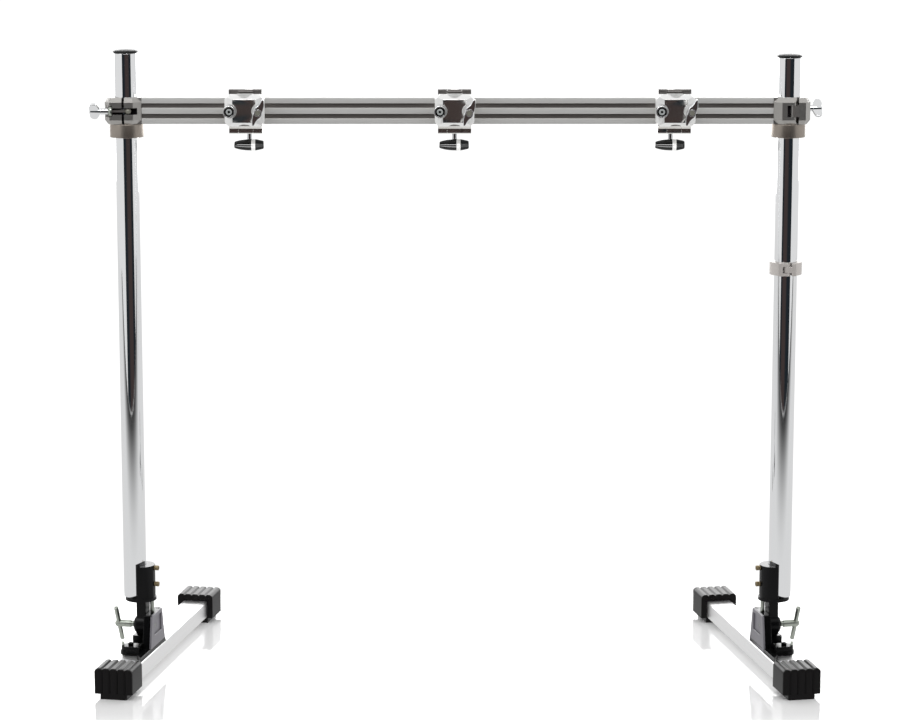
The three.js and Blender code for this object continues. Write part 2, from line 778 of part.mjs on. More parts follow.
// The spur: a rod through the arm, with a point just clear of the floor.
function spurScrew() {
  const s = SPUR;
  const b = BRACKET;
  const top = FLOOR_TOP + SEAT_GAP + b.armLayer * 2 + s.proud;
  return turned('z', [
    [0, s.tipHeight],
    [s.radius, s.tipHeight + s.tipLength],
    [s.radius, top],
    [0, top],
  ], [-s.outwards, -(b.armFront + b.armRear) / 2, 0], COARSE);
}

// The washer under the tilt bolt, a dome whose flat side lies on the tongue.
function domeWasher() {
  const t = TILT;
  const flat = SADDLE.neckOuter - SEAT_GAP;
  const hole = t.shankRadius + SLIP_GAP;
  const crown = flat - t.washerThickness;
  const dome = arc(0, 0, 1, 0, DOME_SHARE).map(([run, rise]) => [t.washerRadius * run, flat - t.washerThickness * rise]);
  return ring('x', [[hole, flat], ...dome, [hole, crown]], [0, 0, PIVOT_HEIGHT], MEDIUM);
}
const DOME_SHARE = 0.72;

// The tilt bolt: a shank through washer, tongue and cheek, a thick hub and a crossbar.
function tiltBolt() {
  const t = TILT;
  const start = SADDLE.neckOuter - SEAT_GAP * 2 - t.washerThickness;
  const hubStart = start - t.collarLength;
  const end = hubStart - t.hubLength;
  const body = turned('x', [
    [0, t.shankEnd],
    [t.shankRadius, t.shankEnd],
    [t.shankRadius, start],
    [t.collarRadius, start],
    [t.collarRadius, hubStart],
    [t.hubRadius, hubStart],
    [t.hubRadius, end + t.hubRadius / 2],
    [t.hubRadius / 2, end],
    [0, end],
  ]);
  const crossbar = rod('z', t.rodRadius, -t.rodLength / 2, t.rodLength / 2, [end + t.rodInset, 0, 0], COARSE);
  return join(body, crossbar).rotateX(t.lean).translate(0, 0, PIVOT_HEIGHT);
}

// A floor bar: a rectangular tube, open at both ends.
function floorBar() {
  const f = FLOOR_BAR;
  const half = f.width / 2;
  const outer = box(f.centre - half, f.centre + half, -f.frontReach, f.rearReach, f.bottom, f.bottom + f.height);
  const inner = box(
    f.centre - half + f.wall,
    f.centre + half - f.wall,
    -f.frontReach - OVERRUN,
    f.rearReach + OVERRUN,
    f.bottom + f.wall,
    f.bottom + f.height - f.wall,
  );
  return cut(outer, inner);
}

// A foot, an open-ended cap over a floor bar's end: its closed end is at y = 0 and it runs to
// +y. Ribs run over its top and down its closed end.
function foot() {
  const f = FOOT;
  const half = f.width / 2;
  const pad = f.padWidth / 2;
  const r = f.corner;
  const outline = [
    [pad, 0],
    [pad, f.padStep],
    [half, f.padStep],
    ...arc(half - r, f.height - r, r, 0, 1, ARC_STEPS / 2),
    ...arc(r - half, f.height - r, r, 1, 2, ARC_STEPS / 2),
    [-half, f.padStep],
    [-pad, f.padStep],
    [-pad, 0],
  ];
  const body = prism('y', outline, 0, f.length);
  const socket = box(
    -FLOOR_BAR.width / 2 - SEAT_GAP,
    FLOOR_BAR.width / 2 + SEAT_GAP,
    f.endWall,
    f.length + OVERRUN,
    FLOOR_BAR.bottom - SEAT_GAP,
    FLOOR_TOP + SEAT_GAP,
  );
  const pitch = f.width / (f.ribs + 1);
  const grooves = Array.from({ length: f.ribs }, (_, i) => {
    const x = (i - (f.ribs - 1) / 2) * pitch;
    const g = f.grooveWidth / 2;
    return join(
      box(x - g, x + g, -OVERRUN, f.length + OVERRUN, f.height - f.grooveDepth, f.height + OVERRUN),
      box(x - g, x + g, -OVERRUN, f.grooveDepth, f.padStep, f.height + OVERRUN),
    );
  });
  return cut(body, socket, ...grooves);
}

// An accessory clamp. Its origin is on the bar's centre line, with -y to the front.
// A length of its ridge: flat in front, with chamfered corners on the side away from the bar.
function ridgeLength(x0, x1, z) {
  const c = CLAMP;
  const away = Math.sign(z);
  const front = -c.ridgeLine - c.ridgeRadius;
  const rear = c.ridgeRadius - c.ridgeLine;
  const end = z + away * c.ridgeRadius;
  const shoulder = end - away * c.ridgeChamfer;
  const root = away * (c.bodyHalf - c.bodyBevel);
  return prism('x', [
    [front, root],
    [front, shoulder],
    [front + c.ridgeChamfer, end],
    [rear - c.ridgeChamfer, end],
    [rear, shoulder],
    [rear, root],
  ], x0, x1);
}

function clampBody() {
  const c = CLAMP;
  const half = c.width / 2;
  const knuckleHalf = c.knuckleWidth / 2;
  const back = -BAR_DEPTH / 2 - SEAT_GAP;
  const plateTop = -BAR_HEIGHT / 2 - SEAT_GAP;
  const plateBottom = plateTop - c.floorThickness;
  const block = prism('x', [
    [back, -c.bodyHalf],
    [back, c.bodyHalf - c.bodyBevel],
    [-c.ridgeLine, c.bodyHalf],
    [c.bodyBevel - c.bodyFront, c.bodyHalf],
    [-c.bodyFront, c.bodyHalf - c.bodyBevel],
    [-c.bodyFront, c.bodyBevel - c.bodyHalf],
    [c.bodyBevel - c.bodyFront, -c.bodyHalf],
  ], -half, half);
  const floor = prism('z', [
    [-half, back - OVERRUN],
    [half, back - OVERRUN],
    [half, BAR_DEPTH / 2],
    ...arc(0, c.boltLine, c.bossRadius, 0, 2),
    [-half, BAR_DEPTH / 2],
  ], plateBottom, plateTop);
  const boss = rod('z', c.bossRadius, plateTop - c.lowerBoss, plateTop, [0, c.boltLine, 0]);
  const upperLugs = [-1, 1].map((side) => {
    const [x0, x1] = [side * (knuckleHalf + SEAT_GAP), side * half].sort((a, b) => a - b);
    return ridgeLength(x0, x1, c.ridgeHeight);
  });
  const lowerRidge = ridgeLength(-half, half, -c.ridgeHeight);
  const marks = [-1, 1].map((side) => ring('x', [
    [c.ridgeRadius - c.ridgeGroove, side * knuckleHalf - c.ridgeGroove / 2],
    [c.ridgeRadius + OVERRUN, side * knuckleHalf - c.ridgeGroove / 2],
    [c.ridgeRadius + OVERRUN, side * knuckleHalf + c.ridgeGroove / 2],
    [c.ridgeRadius - c.ridgeGroove, side * knuckleHalf + c.ridgeGroove / 2],
  ], [0, -c.ridgeLine, -c.ridgeHeight], COARSE));
  const solid = join(block, floor, boss, ...upperLugs, lowerRidge, pipeSeat());
  const knuckleRoom = rod('x', c.ridgeRadius + SEAT_GAP, -knuckleHalf - SEAT_GAP, knuckleHalf + SEAT_GAP, [
    0,
    -c.ridgeLine,
    c.ridgeHeight,
  ]);
  const parted = cut(
    solid,
    ...marks,
    knuckleRoom,
    armRoom(),
    rod('z', HANDLE.shankRadius + SLIP_GAP, -c.ridgeHeight * 2, 0, [0, c.boltLine, 0], COARSE),
    boltHoles()[0],
    rod('z', PIPE.radius, -PIPE.height, PIPE.height, [0, -PIPE.line, 0], FINE),
  );
  return join(parted, ...bodyPins());
}

// The space that the upper jaw's arm needs behind the ridge as it lifts.
function armRoom() {
  const c = CLAMP;
  const half = c.knuckleWidth / 2 + SEAT_GAP;
  const low = c.bodyHalf - c.bodyBevel - SEAT_GAP;
  return box(-half, half, -c.ridgeLine, 0, low, c.ridgeHeight + c.ridgeRadius + OVERRUN);
}

// The fixed half of the pipe clamp, with an ear on each side of the pipe.
function pipeOutline(width) {
  const half = width / 2;
  const tall = PIPE.height / 2;
  const k = PIPE.chamfer;
  return [
    [-half, -tall + k],
    [-half + k, -tall],
    [half - k, -tall],
    [half, -tall + k],
    [half, tall - k],
    [half - k, tall],
    [-half + k, tall],
    [-half, tall - k],
  ];
}

function pipeSeat() {
  const p = PIPE;
  const face = -p.line + p.parting / 2;
  const ears = prism('y', pipeOutline(p.width), face, face + p.earThickness);
  const core = prism('y', pipeOutline(p.coreHalf * 2), face, OVERRUN - CLAMP.bodyFront);
  return join(ears, core).translate(0, 0, p.centre);
}

function boltHoles() {
  const p = PIPE;
  const radii = [SOCKET_BOLT.shankRadius, LEVER_NUT.studRadius];
  return radii.map((radius, i) => {
    const x = (i ? 1 : -1) * p.boltSpacing;
    return rod('y', radius + SLIP_GAP, -p.line - p.height, -CLAMP.bodyFront - SEAT_GAP, [x, 0, p.centre]);
  });
}

// One pair of the pipe jaw's slopes: y falls back from the pad to the plate's edges at +-side.
function padProfile(side) {
  const p = PIPE;
  const back = -p.line - p.parting / 2;
  const edge = back - p.edgeThickness;
  const top = back - p.jawThickness - p.padProud;
  return [
    [back, -side],
    [back, side],
    [edge, side],
    [top, p.padHalf],
    [top, -p.padHalf],
    [edge, -side],
  ];
}

// The front half of the pipe clamp: a plate with chamfered corners whose front rises in four
// slopes to a flat pad, with a sunk seat for each bolt.
function pipeJaw() {
  const p = PIPE;
  const back = -p.line - p.parting / 2;
  const seat = back - p.jawThickness + p.recessDepth;
  const plate = prism('y', pipeOutline(p.width), back - p.jawThickness - p.padProud, back);
  const acrossSlopes = prism('z', padProfile(p.width / 2).map(([y, x]) => [x, y]), -p.height, p.height);
  const uprightSlopes = prism('x', padProfile(p.height / 2), -p.width, p.width);
  const recesses = [-1, 1].map((side) => {
    return rod('y', p.recessRadius, seat - p.height, seat, [side * p.boltSpacing, 0, p.centre]);
  });
  const core = common(common(plate, acrossSlopes), uprightSlopes).translate(0, 0, p.centre);
  const bore = rod('z', p.radius, -p.height, p.height, [0, -p.line, 0], FINE);
  return cut(core, ...recesses, ...boltHoles(), bore);
}

// The bolt on the clamp's left: a cup-shaped head with a sunk ring and a socket.
function socketBolt() {
  const p = PIPE;
  const b = SOCKET_BOLT;
  const seat = p.line + p.parting / 2 + p.jawThickness - p.recessDepth + SEAT_GAP;
  const end = seat + b.cupLength;
  const tail = CLAMP.bodyFront + p.travel + OVERRUN;
  return turned('y', [
    [0, -tail],
    [b.shankRadius, -tail],
    [b.shankRadius, -seat],
    [b.cupRadius, -seat],
    [b.cupRadius, -end],
    [b.ringOuter, -end],
    [b.ringOuter, b.ringDepth - end],
    [b.ringInner, b.ringDepth - end],
    [b.ringInner, -end],
    [b.socketRadius, -end],
    [b.socketRadius, b.socketDepth - end],
    [0, b.socketDepth - end],
  ], [-p.boltSpacing, 0, p.centre]);
}

// The pin of the upper hinge and the stud that carries the lever nut, both pressed into the body.
function bodyPins() {
  const c = CLAMP;
  const half = c.width / 2 - c.ridgeRadius / 2;
  const pin = rod('x', c.pinRadius, -half, half, [0, -c.ridgeLine, c.ridgeHeight], COARSE);
  const seat = PIPE.line + PIPE.parting / 2 + PIPE.jawThickness - PIPE.recessDepth + SEAT_GAP;
  const tip = seat + LEVER_NUT.hubLength + LEVER_NUT.studProud;
  const stud = rod('y', LEVER_NUT.studRadius, -tip, -c.ridgeLine, [PIPE.boltSpacing, 0, PIPE.centre]);
  return [pin, stud];
}

// The lever nut: a round hub with two wings that lean one way, like an S.
function leverNut() {
  const n = LEVER_NUT;
  const seat = PIPE.line + PIPE.parting / 2 + PIPE.jawThickness - PIPE.recessDepth + SEAT_GAP;
  const end = seat + n.hubLength;
  const hub = rod('y', n.hubRadius, -end, -seat);
  const half = WING_SHARES.map(([x, z]) => [x * n.reach, z * n.reach]);
  const outline = [...half, ...half.map(([x, z]) => [-x, -z])];
  const wings = prism('y', outline, n.setBack - end, n.setBack + n.thickness - end);
  const bore = rod('y', n.studRadius + SLIP_GAP, -end - OVERRUN, OVERRUN - seat);
  return cut(join(hub, wings), bore).translate(PIPE.boltSpacing, 0, PIPE.centre);
}

// The upper jaw: a knuckle on the ridge, an arm, and a plate over the bar to the bolt's boss.
function upperJaw() {
  const c = CLAMP;
  const half = c.width / 2;
  const knuckleHalf = c.knuckleWidth / 2;
  const low = BAR_HEIGHT / 2 + SEAT_GAP;
  const high = low + c.plateThickness;
  const front = -c.ridgeLine + c.ridgeRadius + SEAT_GAP;
  const barrel = rod('x', c.ridgeRadius, -knuckleHalf, knuckleHalf, [0, -c.ridgeLine, c.ridgeHeight], COARSE);
  const arm = prism('x', [
    [-c.ridgeLine, c.ridgeHeight - c.ridgeRadius],
    [front, low + c.plateThickness / 2],
    [0, low + c.plateThickness / 2],
    [0, high],
    [-c.ridgeLine, c.ridgeHeight + c.ridgeRadius],
  ], -knuckleHalf, knuckleHalf);
  const plate = prism('z', [
    [-half, -BAR_DEPTH / 2 + c.bodyBevel],
    [half, -BAR_DEPTH / 2 + c.bodyBevel],
    [half, BAR_DEPTH / 2],
    ...arc(0, c.boltLine, c.bossRadius, 0, 2),
    [-half, BAR_DEPTH / 2],
  ], low, high);
  const boss = rod('z', c.bossRadius, high - c.upperBoss, high, [0, c.boltLine, 0]);
  const slot = HANDLE.shankRadius + c.jawBoltSlip;
  return cut(
    join(barrel, arm, plate, boss),
    rod('x', c.pinRadius + SLIP_GAP, -half, half, [0, -c.ridgeLine, c.ridgeHeight], COARSE),
    rod('z', slot, 0, c.ridgeHeight + c.ridgeRadius, [0, c.boltLine, 0], COARSE),
  );
}

// The closing bolt: a shank through both jaws, a shoulder under the lower boss, and a stem.
function lockBolt() {
  const c = CLAMP;
  const h = HANDLE;
  const top = BAR_HEIGHT / 2 + SEAT_GAP + c.plateThickness - SEAT_GAP;
  const seat = -BAR_HEIGHT / 2 - SEAT_GAP * 2 - c.lowerBoss;
  return turned('z', [
    [0, seat - h.stemLength - h.shoulder],
    [h.stemRadius, seat - h.stemLength - h.shoulder],
    [h.stemRadius, seat - h.shoulder],
    [h.shoulderRadius, seat - h.shoulder],
    [h.shoulderRadius, seat],
    [h.shankRadius, seat],
    [h.shankRadius, top],
    [0, top],
  ], [0, c.boltLine, 0]);
}

// The barrel handle across the closing bolt's end, with a plain band to the right of the stem.
function lockHandle() {
  const c = CLAMP;
  const h = HANDLE;
  const seat = -BAR_HEIGHT / 2 - SEAT_GAP * 2 - c.lowerBoss - h.stemLength - h.shoulder;
  const centre = seat - SEAT_GAP - h.middleRadius;
  const rows = GRIP_SHARES.map(([radius, x]) => [radius * h.middleRadius, x * h.gripLength - h.gripLeft]);
  return turned('x', [[0, -h.gripLeft], ...rows, [0, h.gripLength - h.gripLeft]], [0, c.boltLine, centre]);
}

const frame = new THREE.Group();

// The bar and everything on its centre line.
const barLine = new THREE.Group();
barLine.position.set(0, POST_Y, BAR_CENTRE);
barLine.add(mesh('cross_bar', 'anodised', crossBar()));
frame.add(barLine);

for (const [name, side] of [['left', -1], ['right', 1]]) {
  const clamp = new THREE.Group();
  clamp.position.set(side * POST_X, 0, 0);
  clamp.rotation.z = side < 0 ? 0 : Math.PI;
  clamp.add(mesh(`${name}_end_casting`, 'castAluminium', endCasting()));
  clamp.add(mesh(`${name}_clamp_jaw`, 'castAluminium', clampJaw()));
  const bolt = new THREE.Group();
  bolt.position.set(SWING.eyeOffset, -SWING.line, 0);
  bolt.add(mesh(`${name}_swing_bolt`, 'zinc', swingBolt()));
  bolt.add(mesh(`${name}_bolt_washer`, 'zinc', boltWasher()));
  bolt.add(mesh(`${name}_wing_nut`, 'chrome', wingNut()));
  clamp.add(bolt);
  barLine.add(clamp);

  const upright = new THREE.Group();
  upright.position.set(side * POST_X, POST_Y, 0);
  const length = side < 0 ? POST_LENGTH : POST_LENGTH - RIGHT_POST_SHORTER;
  upright.add(mesh(`${name}_post`, 'chrome', post(length)));
  upright.add(mesh(`${name}_post_cap`, 'blackPlastic', postCap(length)));
  upright.add(mesh(`${name}_stop_collar`, 'nickel', stopCollar()));
  if (side > 0) {
    const band = mesh('memory_collar_band', 'nickel', memoryHalf(false));
    const gate = mesh('memory_collar_gate', 'nickel', memoryHalf(true));
    band.position.z = BAR_CENTRE - MEMORY_COLLAR.drop;
    gate.position.z = BAR_CENTRE - MEMORY_COLLAR.drop;
    upright.add(band, gate);
  }
  frame.add(upright);

  const leg = new THREE.Group();
  leg.position.set(side * POST_X, POST_Y, 0);
  leg.rotation.z = side * TOE_IN;
  const handed = (geometry) => (side < 0 ? geometry : mirrored(geometry));
  leg.add(mesh(`${name}_post_saddle`, 'blackEnamel', handed(saddle())));
  SADDLE.boltHeights.forEach((z, i) => {
    leg.add(mesh(`${name}_saddle_bolt_${i ? 'upper' : 'lower'}`, 'bronze', handed(saddleBolt(z))));
  });
  leg.add(mesh(`${name}_tilt_bracket`, 'blackEnamel', handed(tiltBracket())));
  leg.add(mesh(`${name}_spur_screw`, 'zinc', handed(spurScrew())));
  leg.add(mesh(`${name}_dome_washer`, 'blackEnamel', handed(domeWasher())));
  leg.add(mesh(`${name}_tilt_bolt`, 'zinc', handed(tiltBolt())));
  leg.add(mesh(`${name}_floor_bar`, 'polishedAluminium', handed(floorBar())));
  const front = foot().translate(FLOOR_BAR.centre, -FOOT_FRONT, 0);
  const rear = foot().rotateZ(Math.PI).translate(FLOOR_BAR.centre, FOOT_REAR, 0);
  leg.add(mesh(`${name}_front_foot`, 'blackRubber', handed(front)));
  leg.add(mesh(`${name}_rear_foot`, 'blackRubber', handed(rear)));
  frame.add(leg);
}

CLAMP_PLACES.forEach((x, i) => {
  const name = `clamp${i + 1}`;
  const clamp = new THREE.Group();
  clamp.position.set(x, 0, 0);
  clamp.add(mesh(`${name}_body`, 'polishedAluminium', clampBody()));
  clamp.add(mesh(`${name}_upper_jaw`, 'polishedAluminium', upperJaw()));
  clamp.add(mesh(`${name}_lock_bolt`, 'chrome', lockBolt()));
  clamp.add(mesh(`${name}_lock_handle`, 'blackPlastic', lockHandle()));
  clamp.add(mesh(`${name}_pipe_jaw`, 'polishedAluminium', pipeJaw()));
  clamp.add(mesh(`${name}_socket_bolt`, 'chrome', socketBolt()));
  clamp.add(mesh(`${name}_lever_nut`, 'chrome', leverNut()));
  barLine.add(clamp);
});

export default frame;
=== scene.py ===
"""The looks of a drum rack frame: polished tube, satin castings, black enamel legs and rubber feet.

Lengths are in millimetres until a piece is made, when they become metres. x runs along the crossbar,
y to the back and z up. Every piece rides on the body of the part that it is fixed to. The studio's
lengths are in metres.
"""

import json
import math

import bmesh
import bpy
import numpy as np
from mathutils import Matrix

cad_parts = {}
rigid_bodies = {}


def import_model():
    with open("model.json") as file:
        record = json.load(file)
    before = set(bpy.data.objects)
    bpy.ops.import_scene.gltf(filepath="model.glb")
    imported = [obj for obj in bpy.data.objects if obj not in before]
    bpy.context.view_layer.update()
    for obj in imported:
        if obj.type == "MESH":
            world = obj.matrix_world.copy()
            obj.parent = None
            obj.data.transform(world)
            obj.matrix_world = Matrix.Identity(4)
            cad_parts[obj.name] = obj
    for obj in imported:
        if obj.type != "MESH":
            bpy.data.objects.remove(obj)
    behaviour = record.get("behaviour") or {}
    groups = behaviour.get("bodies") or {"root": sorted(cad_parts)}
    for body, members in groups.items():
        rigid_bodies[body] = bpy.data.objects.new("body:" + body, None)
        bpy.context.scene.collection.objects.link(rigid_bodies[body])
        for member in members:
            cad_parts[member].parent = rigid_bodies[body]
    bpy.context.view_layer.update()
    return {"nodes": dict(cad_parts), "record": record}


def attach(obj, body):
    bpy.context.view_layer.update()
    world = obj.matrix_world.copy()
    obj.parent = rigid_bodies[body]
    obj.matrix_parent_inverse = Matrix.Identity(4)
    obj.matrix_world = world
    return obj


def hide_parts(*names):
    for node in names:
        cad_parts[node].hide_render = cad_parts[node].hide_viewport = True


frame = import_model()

MM = 0.001

# Main sizes, the same as the solids'.
POST_X = 547.5
POST_Y = -88.258
POST_RADIUS = 19.05
POST_BORE = 17.45
POST_LOW = 130.0
POST_HIGH = {-1: 1051.7, 1: 1044.2}
BORE_RADIUS = 19.35
BAR_Z = 958.0
BAR_END = 520.5
BAR_DEPTH_HALF = 20.0
BAR_HEIGHT_HALF = 21.75
HOLLOW_DEPTH_HALF = 15.2
HOLLOW_HEIGHT_HALF = 19.15
GROOVE_DEPTH = 2.2
GROOVE_EDGES = (12.45, 4.95)
COLLAR_TOP = BAR_Z - 22.3
COLLAR_HIGH = 22.4
COLLAR_RADIUS = 28.0
MEMORY_Z = BAR_Z - 264.0
MEMORY_HINGE = -24.3
TOE_IN = math.radians(11.3)
PIVOT_Z = 80.0
ARM_LINE = -44.5
FLOOR_LOW = 9.6
FLOOR_TOP = 39.6
FLOOR_SIDES = (-7.0, 37.0)
CLAMP_X = (-348.4, -5.0, 356.3)
PIPE_RISE = 4.6
BOLT_SPACING = 23.9
CUP_SEAT = -67.55
LOCK_LINE = 58.0
LOCK_SEAT = -42.35
SIDES = (("left", -1), ("right", 1))


# Places
def place(x=0.0, y=0.0, z=0.0, turn=0.0, mirror=False):
    """A 4 by 4 matrix: mirrored left to right if asked, turned about z, then moved."""
    c, s = math.cos(turn), math.sin(turn)
    flip = -1.0 if mirror else 1.0
    return np.array([[c * flip, -s, 0, x], [s * flip, c, 0, y], [0, 0, 1, z], [0, 0, 0, 1]])


BAR = place(0, POST_Y, BAR_Z)


def post_place(side):
    """A post's axis on the floor."""
    return place(side * POST_X, POST_Y, 0)


def end_place(side):
    """A post's axis at the bar's height, turned half round on the right."""
    return place(side * POST_X, POST_Y, BAR_Z, 0 if side < 0 else math.pi)


def leg_place(side):
    """A post's axis on the floor, turned by the toe-in and mirrored on the right."""
    return place(side * POST_X, POST_Y, 0, side * TOE_IN, side > 0)


def clamp_place(index):
    """The middle of an accessory clamp, on the bar's centre line."""
    return place(CLAMP_X[index], POST_Y, BAR_Z)


# Shapes: each returns its points and its faces
SAME_POINT = 1e-6
STEPS_A_TURN = 6


def along(axis, points):
    """Turns points made along z so that they run along the named axis, by swapping coordinates."""
    order = {"x": (2, 0, 1), "y": (1, 2, 0), "z": (0, 1, 2)}[axis]
    return points[..., order]


def eased(corners, radius, steps=4, closed=False):
    """A polyline with its corners rounded: each corner gives way to a parabola between the points
    that lie a radius back and a radius on, or half way along a short side."""
    pts = np.asarray(corners, float)
    radii = np.broadcast_to(np.asarray(radius, float), (len(pts),))
    back = np.roll(pts, 1, 0) - pts
    on = np.roll(pts, -1, 0) - pts
    length_back = np.linalg.norm(back, axis=1)
    length_on = np.linalg.norm(on, axis=1)
    start = pts + back * (np.minimum(radii, length_back / 2) / length_back)[:, None]
    end = pts + on * (np.minimum(radii, length_on / 2) / length_on)[:, None]
    t = np.linspace(0, 1, steps + 1)[None, :, None]
    curve = (1 - t) ** 2 * start[:, None] + 2 * t * (1 - t) * pts[:, None] + t**2 * end[:, None]
    if not closed:
        curve[0] = pts[0]
        curve[-1] = pts[-1]
    flat = curve.reshape(-1, pts.shape[1])
    keep = np.linalg.norm(flat - np.roll(flat, 1, 0), axis=1) > SAME_POINT
    if not closed:
        keep[0] = True
    return flat[keep]


def arc(cx, cy, radius, start, end, steps=24):
    """Points on a circle: x = cx + r cos a, y = cy + r sin a, from one angle to another."""
    t = np.radians(np.linspace(start, end, steps + 1))
    return np.stack([cx + radius * np.cos(t), cy + radius * np.sin(t)], 1)


def grid_faces(rows, columns, wrap_rows=False, wrap_columns=True):
    """Quads over a grid of points, numbered row by row."""
    i = np.arange(rows if wrap_rows else rows - 1)[:, None]
    j = np.arange(columns if wrap_columns else columns - 1)[None]
    i2, j2 = (i + 1) % rows, (j + 1) % columns
    quads = np.stack([i * columns + j, i * columns + j2, i2 * columns + j2, i2 * columns + j], -1)
    return [tuple(q) for q in quads.reshape(-1, 4)]


def anticlockwise(outline):
    """The outline in the order that has a positive area by the shoelace sum."""
    flat = np.asarray(outline, float)
    nxt = np.roll(flat, -1, 0)
    area = np.sum(flat[:, 0] * nxt[:, 1] - nxt[:, 0] * flat[:, 1])
    return flat if area > 0 else flat[::-1]


def turned(axis, rows, at=(0, 0, 0), segments=64, closed=False):
    """A turned shape: x = r cos a, y = r sin a, z = h over the rows (r, h) and the angle a."""
    rows = anticlockwise(rows)
    angle = np.linspace(0, 2 * math.pi, segments, endpoint=False)
    r, h = rows[:, 0][:, None], rows[:, 1][:, None]
    points = np.stack([r * np.cos(angle), r * np.sin(angle), h + 0 * angle], -1).reshape(-1, 3)
    return along(axis, points) + np.asarray(at, float), grid_faces(len(rows), segments, closed)


def part_ring(rows, start, end, at=(0, 0, 0), segments=96):
    """A ring of a closed section (r, h) turned from one angle to another, with two flat ends."""
    rows = anticlockwise(rows)
    angle = np.radians(np.linspace(start, end, segments))
    r, h = rows[:, 0][:, None], rows[:, 1][:, None]
    points = np.stack([r * np.cos(angle), r * np.sin(angle), h + 0 * angle], -1).reshape(-1, 3)
    faces = grid_faces(len(rows), segments, True, False)
    first = tuple(i * segments for i in range(len(rows)))
    last = tuple(i * segments + segments - 1 for i in range(len(rows)))
    return points + np.asarray(at, float), faces + [first, last[::-1]]


def thread(axis, radius, depth, pitch, low, high, at=(0, 0, 0), segments=40):
    """A screw thread: r = radius - depth |2 frac(h / pitch - a / 2 pi) - 1|, over height h and
    angle a, with its last turn at each end drawn in to a closed pole."""
    heights = np.arange(low, high, pitch / STEPS_A_TURN)[:, None]
    angle = np.linspace(0, 2 * math.pi, segments, endpoint=False)[None]
    phase = (heights / pitch - angle / (2 * math.pi)) % 1
    r = radius - depth * np.abs(2 * phase - 1)
    ends = np.array([[low], [heights[-1, 0]]])
    heights = np.concatenate([ends[:1], heights, ends[1:]])
    r = np.concatenate([0 * r[:1], r, 0 * r[:1]])
    points = np.stack([r * np.cos(angle), r * np.sin(angle), heights + 0 * angle], -1).reshape(-1, 3)
    return along(axis, points) + np.asarray(at, float), grid_faces(len(r), segments)


def prism(axis, outline, low, high, at=(0, 0, 0)):
    """A straight prism: the outline at two heights, joined by quads and closed by flat ends."""
    flat = anticlockwise(outline)
    n = len(flat)
    ends = [np.column_stack([flat, np.full(n, h)]) for h in (low, high)]
    faces = grid_faces(2, n) + [tuple(range(n))[::-1], tuple(range(n, 2 * n))]
    return along(axis, np.concatenate(ends)) + np.asarray(at, float), faces


def tube(axis, outer, inner, low, high, at=(0, 0, 0)):
    """A hollow prism with open ends: two outlines with the same number of points, joined in a ring."""
    rings = [(outer, low), (outer, high), (inner, high), (inner, low)]
    points = [np.column_stack([np.asarray(o, float), np.full(len(o), h)]) for o, h in rings]
    return along(axis, np.concatenate(points)) + np.asarray(at, float), grid_faces(4, len(outer), True)


def slab(front, back):
    """A closed slab between two sheets of points of the same size, joined round their borders."""
    rows, columns = front.shape[:2]
    sheet = np.array(grid_faces(rows, columns, False, False))
    index = np.arange(rows * columns).reshape(rows, columns)
    border = np.concatenate([index[0], index[1:, -1], index[-1, -2::-1], index[-2:0:-1, 0]])
    on = np.roll(border, -1)
    offset = rows * columns
    side = np.stack([border, on, on + offset, border + offset], 1)
    faces = np.concatenate([sheet, sheet[:, ::-1] + offset, side])
    return np.concatenate([front.reshape(-1, 3), back.reshape(-1, 3)]), [tuple(f) for f in faces]


def rod(axis, radius, low, high, at=(0, 0, 0), ease=0.4, segments=48):
    """A round bar with eased rims."""
    rows = eased([(0, low), (radius, low), (radius, high), (0, high)], ease, 3)
    return turned(axis, rows, at, segments)


def tilted(shape, axis, angle, about=(0, 0, 0)):
    """The shape turned about a line through a point, parallel to an axis."""
    points, faces = shape
    i, j = {"x": (1, 2), "y": (2, 0), "z": (0, 1)}[axis]
    rel = points - about
    c, s = math.cos(angle), math.sin(angle)
    out = rel.copy()
    out[:, i], out[:, j] = c * rel[:, i] - s * rel[:, j], s * rel[:, i] + c * rel[:, j]
    return out + about, faces


# Materials
# A Mix node's colour sockets go by number, because its other sockets share their names.
MIX_FIRST, MIX_SECOND, MIX_RESULT = 6, 7, 2
BUMP_STRENGTH = 0.35


def linear(code):
    """An sRGB hex colour as linear light, with alpha 1, by the curve of the sRGB standard."""
    parts = [int(code[i : i + 2], 16) / 255 for i in (0, 2, 4)]
    return [p / 12.92 if p <= 0.04045 else ((p + 0.055) / 1.055) ** 2.4 for p in parts] + [1.0]


def add(tree, kind, settings=None, **links):
    """Adds a node, sets its inputs or properties, and links its inputs from other nodes' outputs."""
    node = tree.nodes.new(kind)
    for key, value in (settings or {}).items():
        if isinstance(key, int) or key in node.inputs:
            node.inputs[key].default_value = value
        else:
            setattr(node, key, value)
    for key, source in links.items():
        tree.links.new(source, node.inputs[key.replace("_", " ")])
    return node


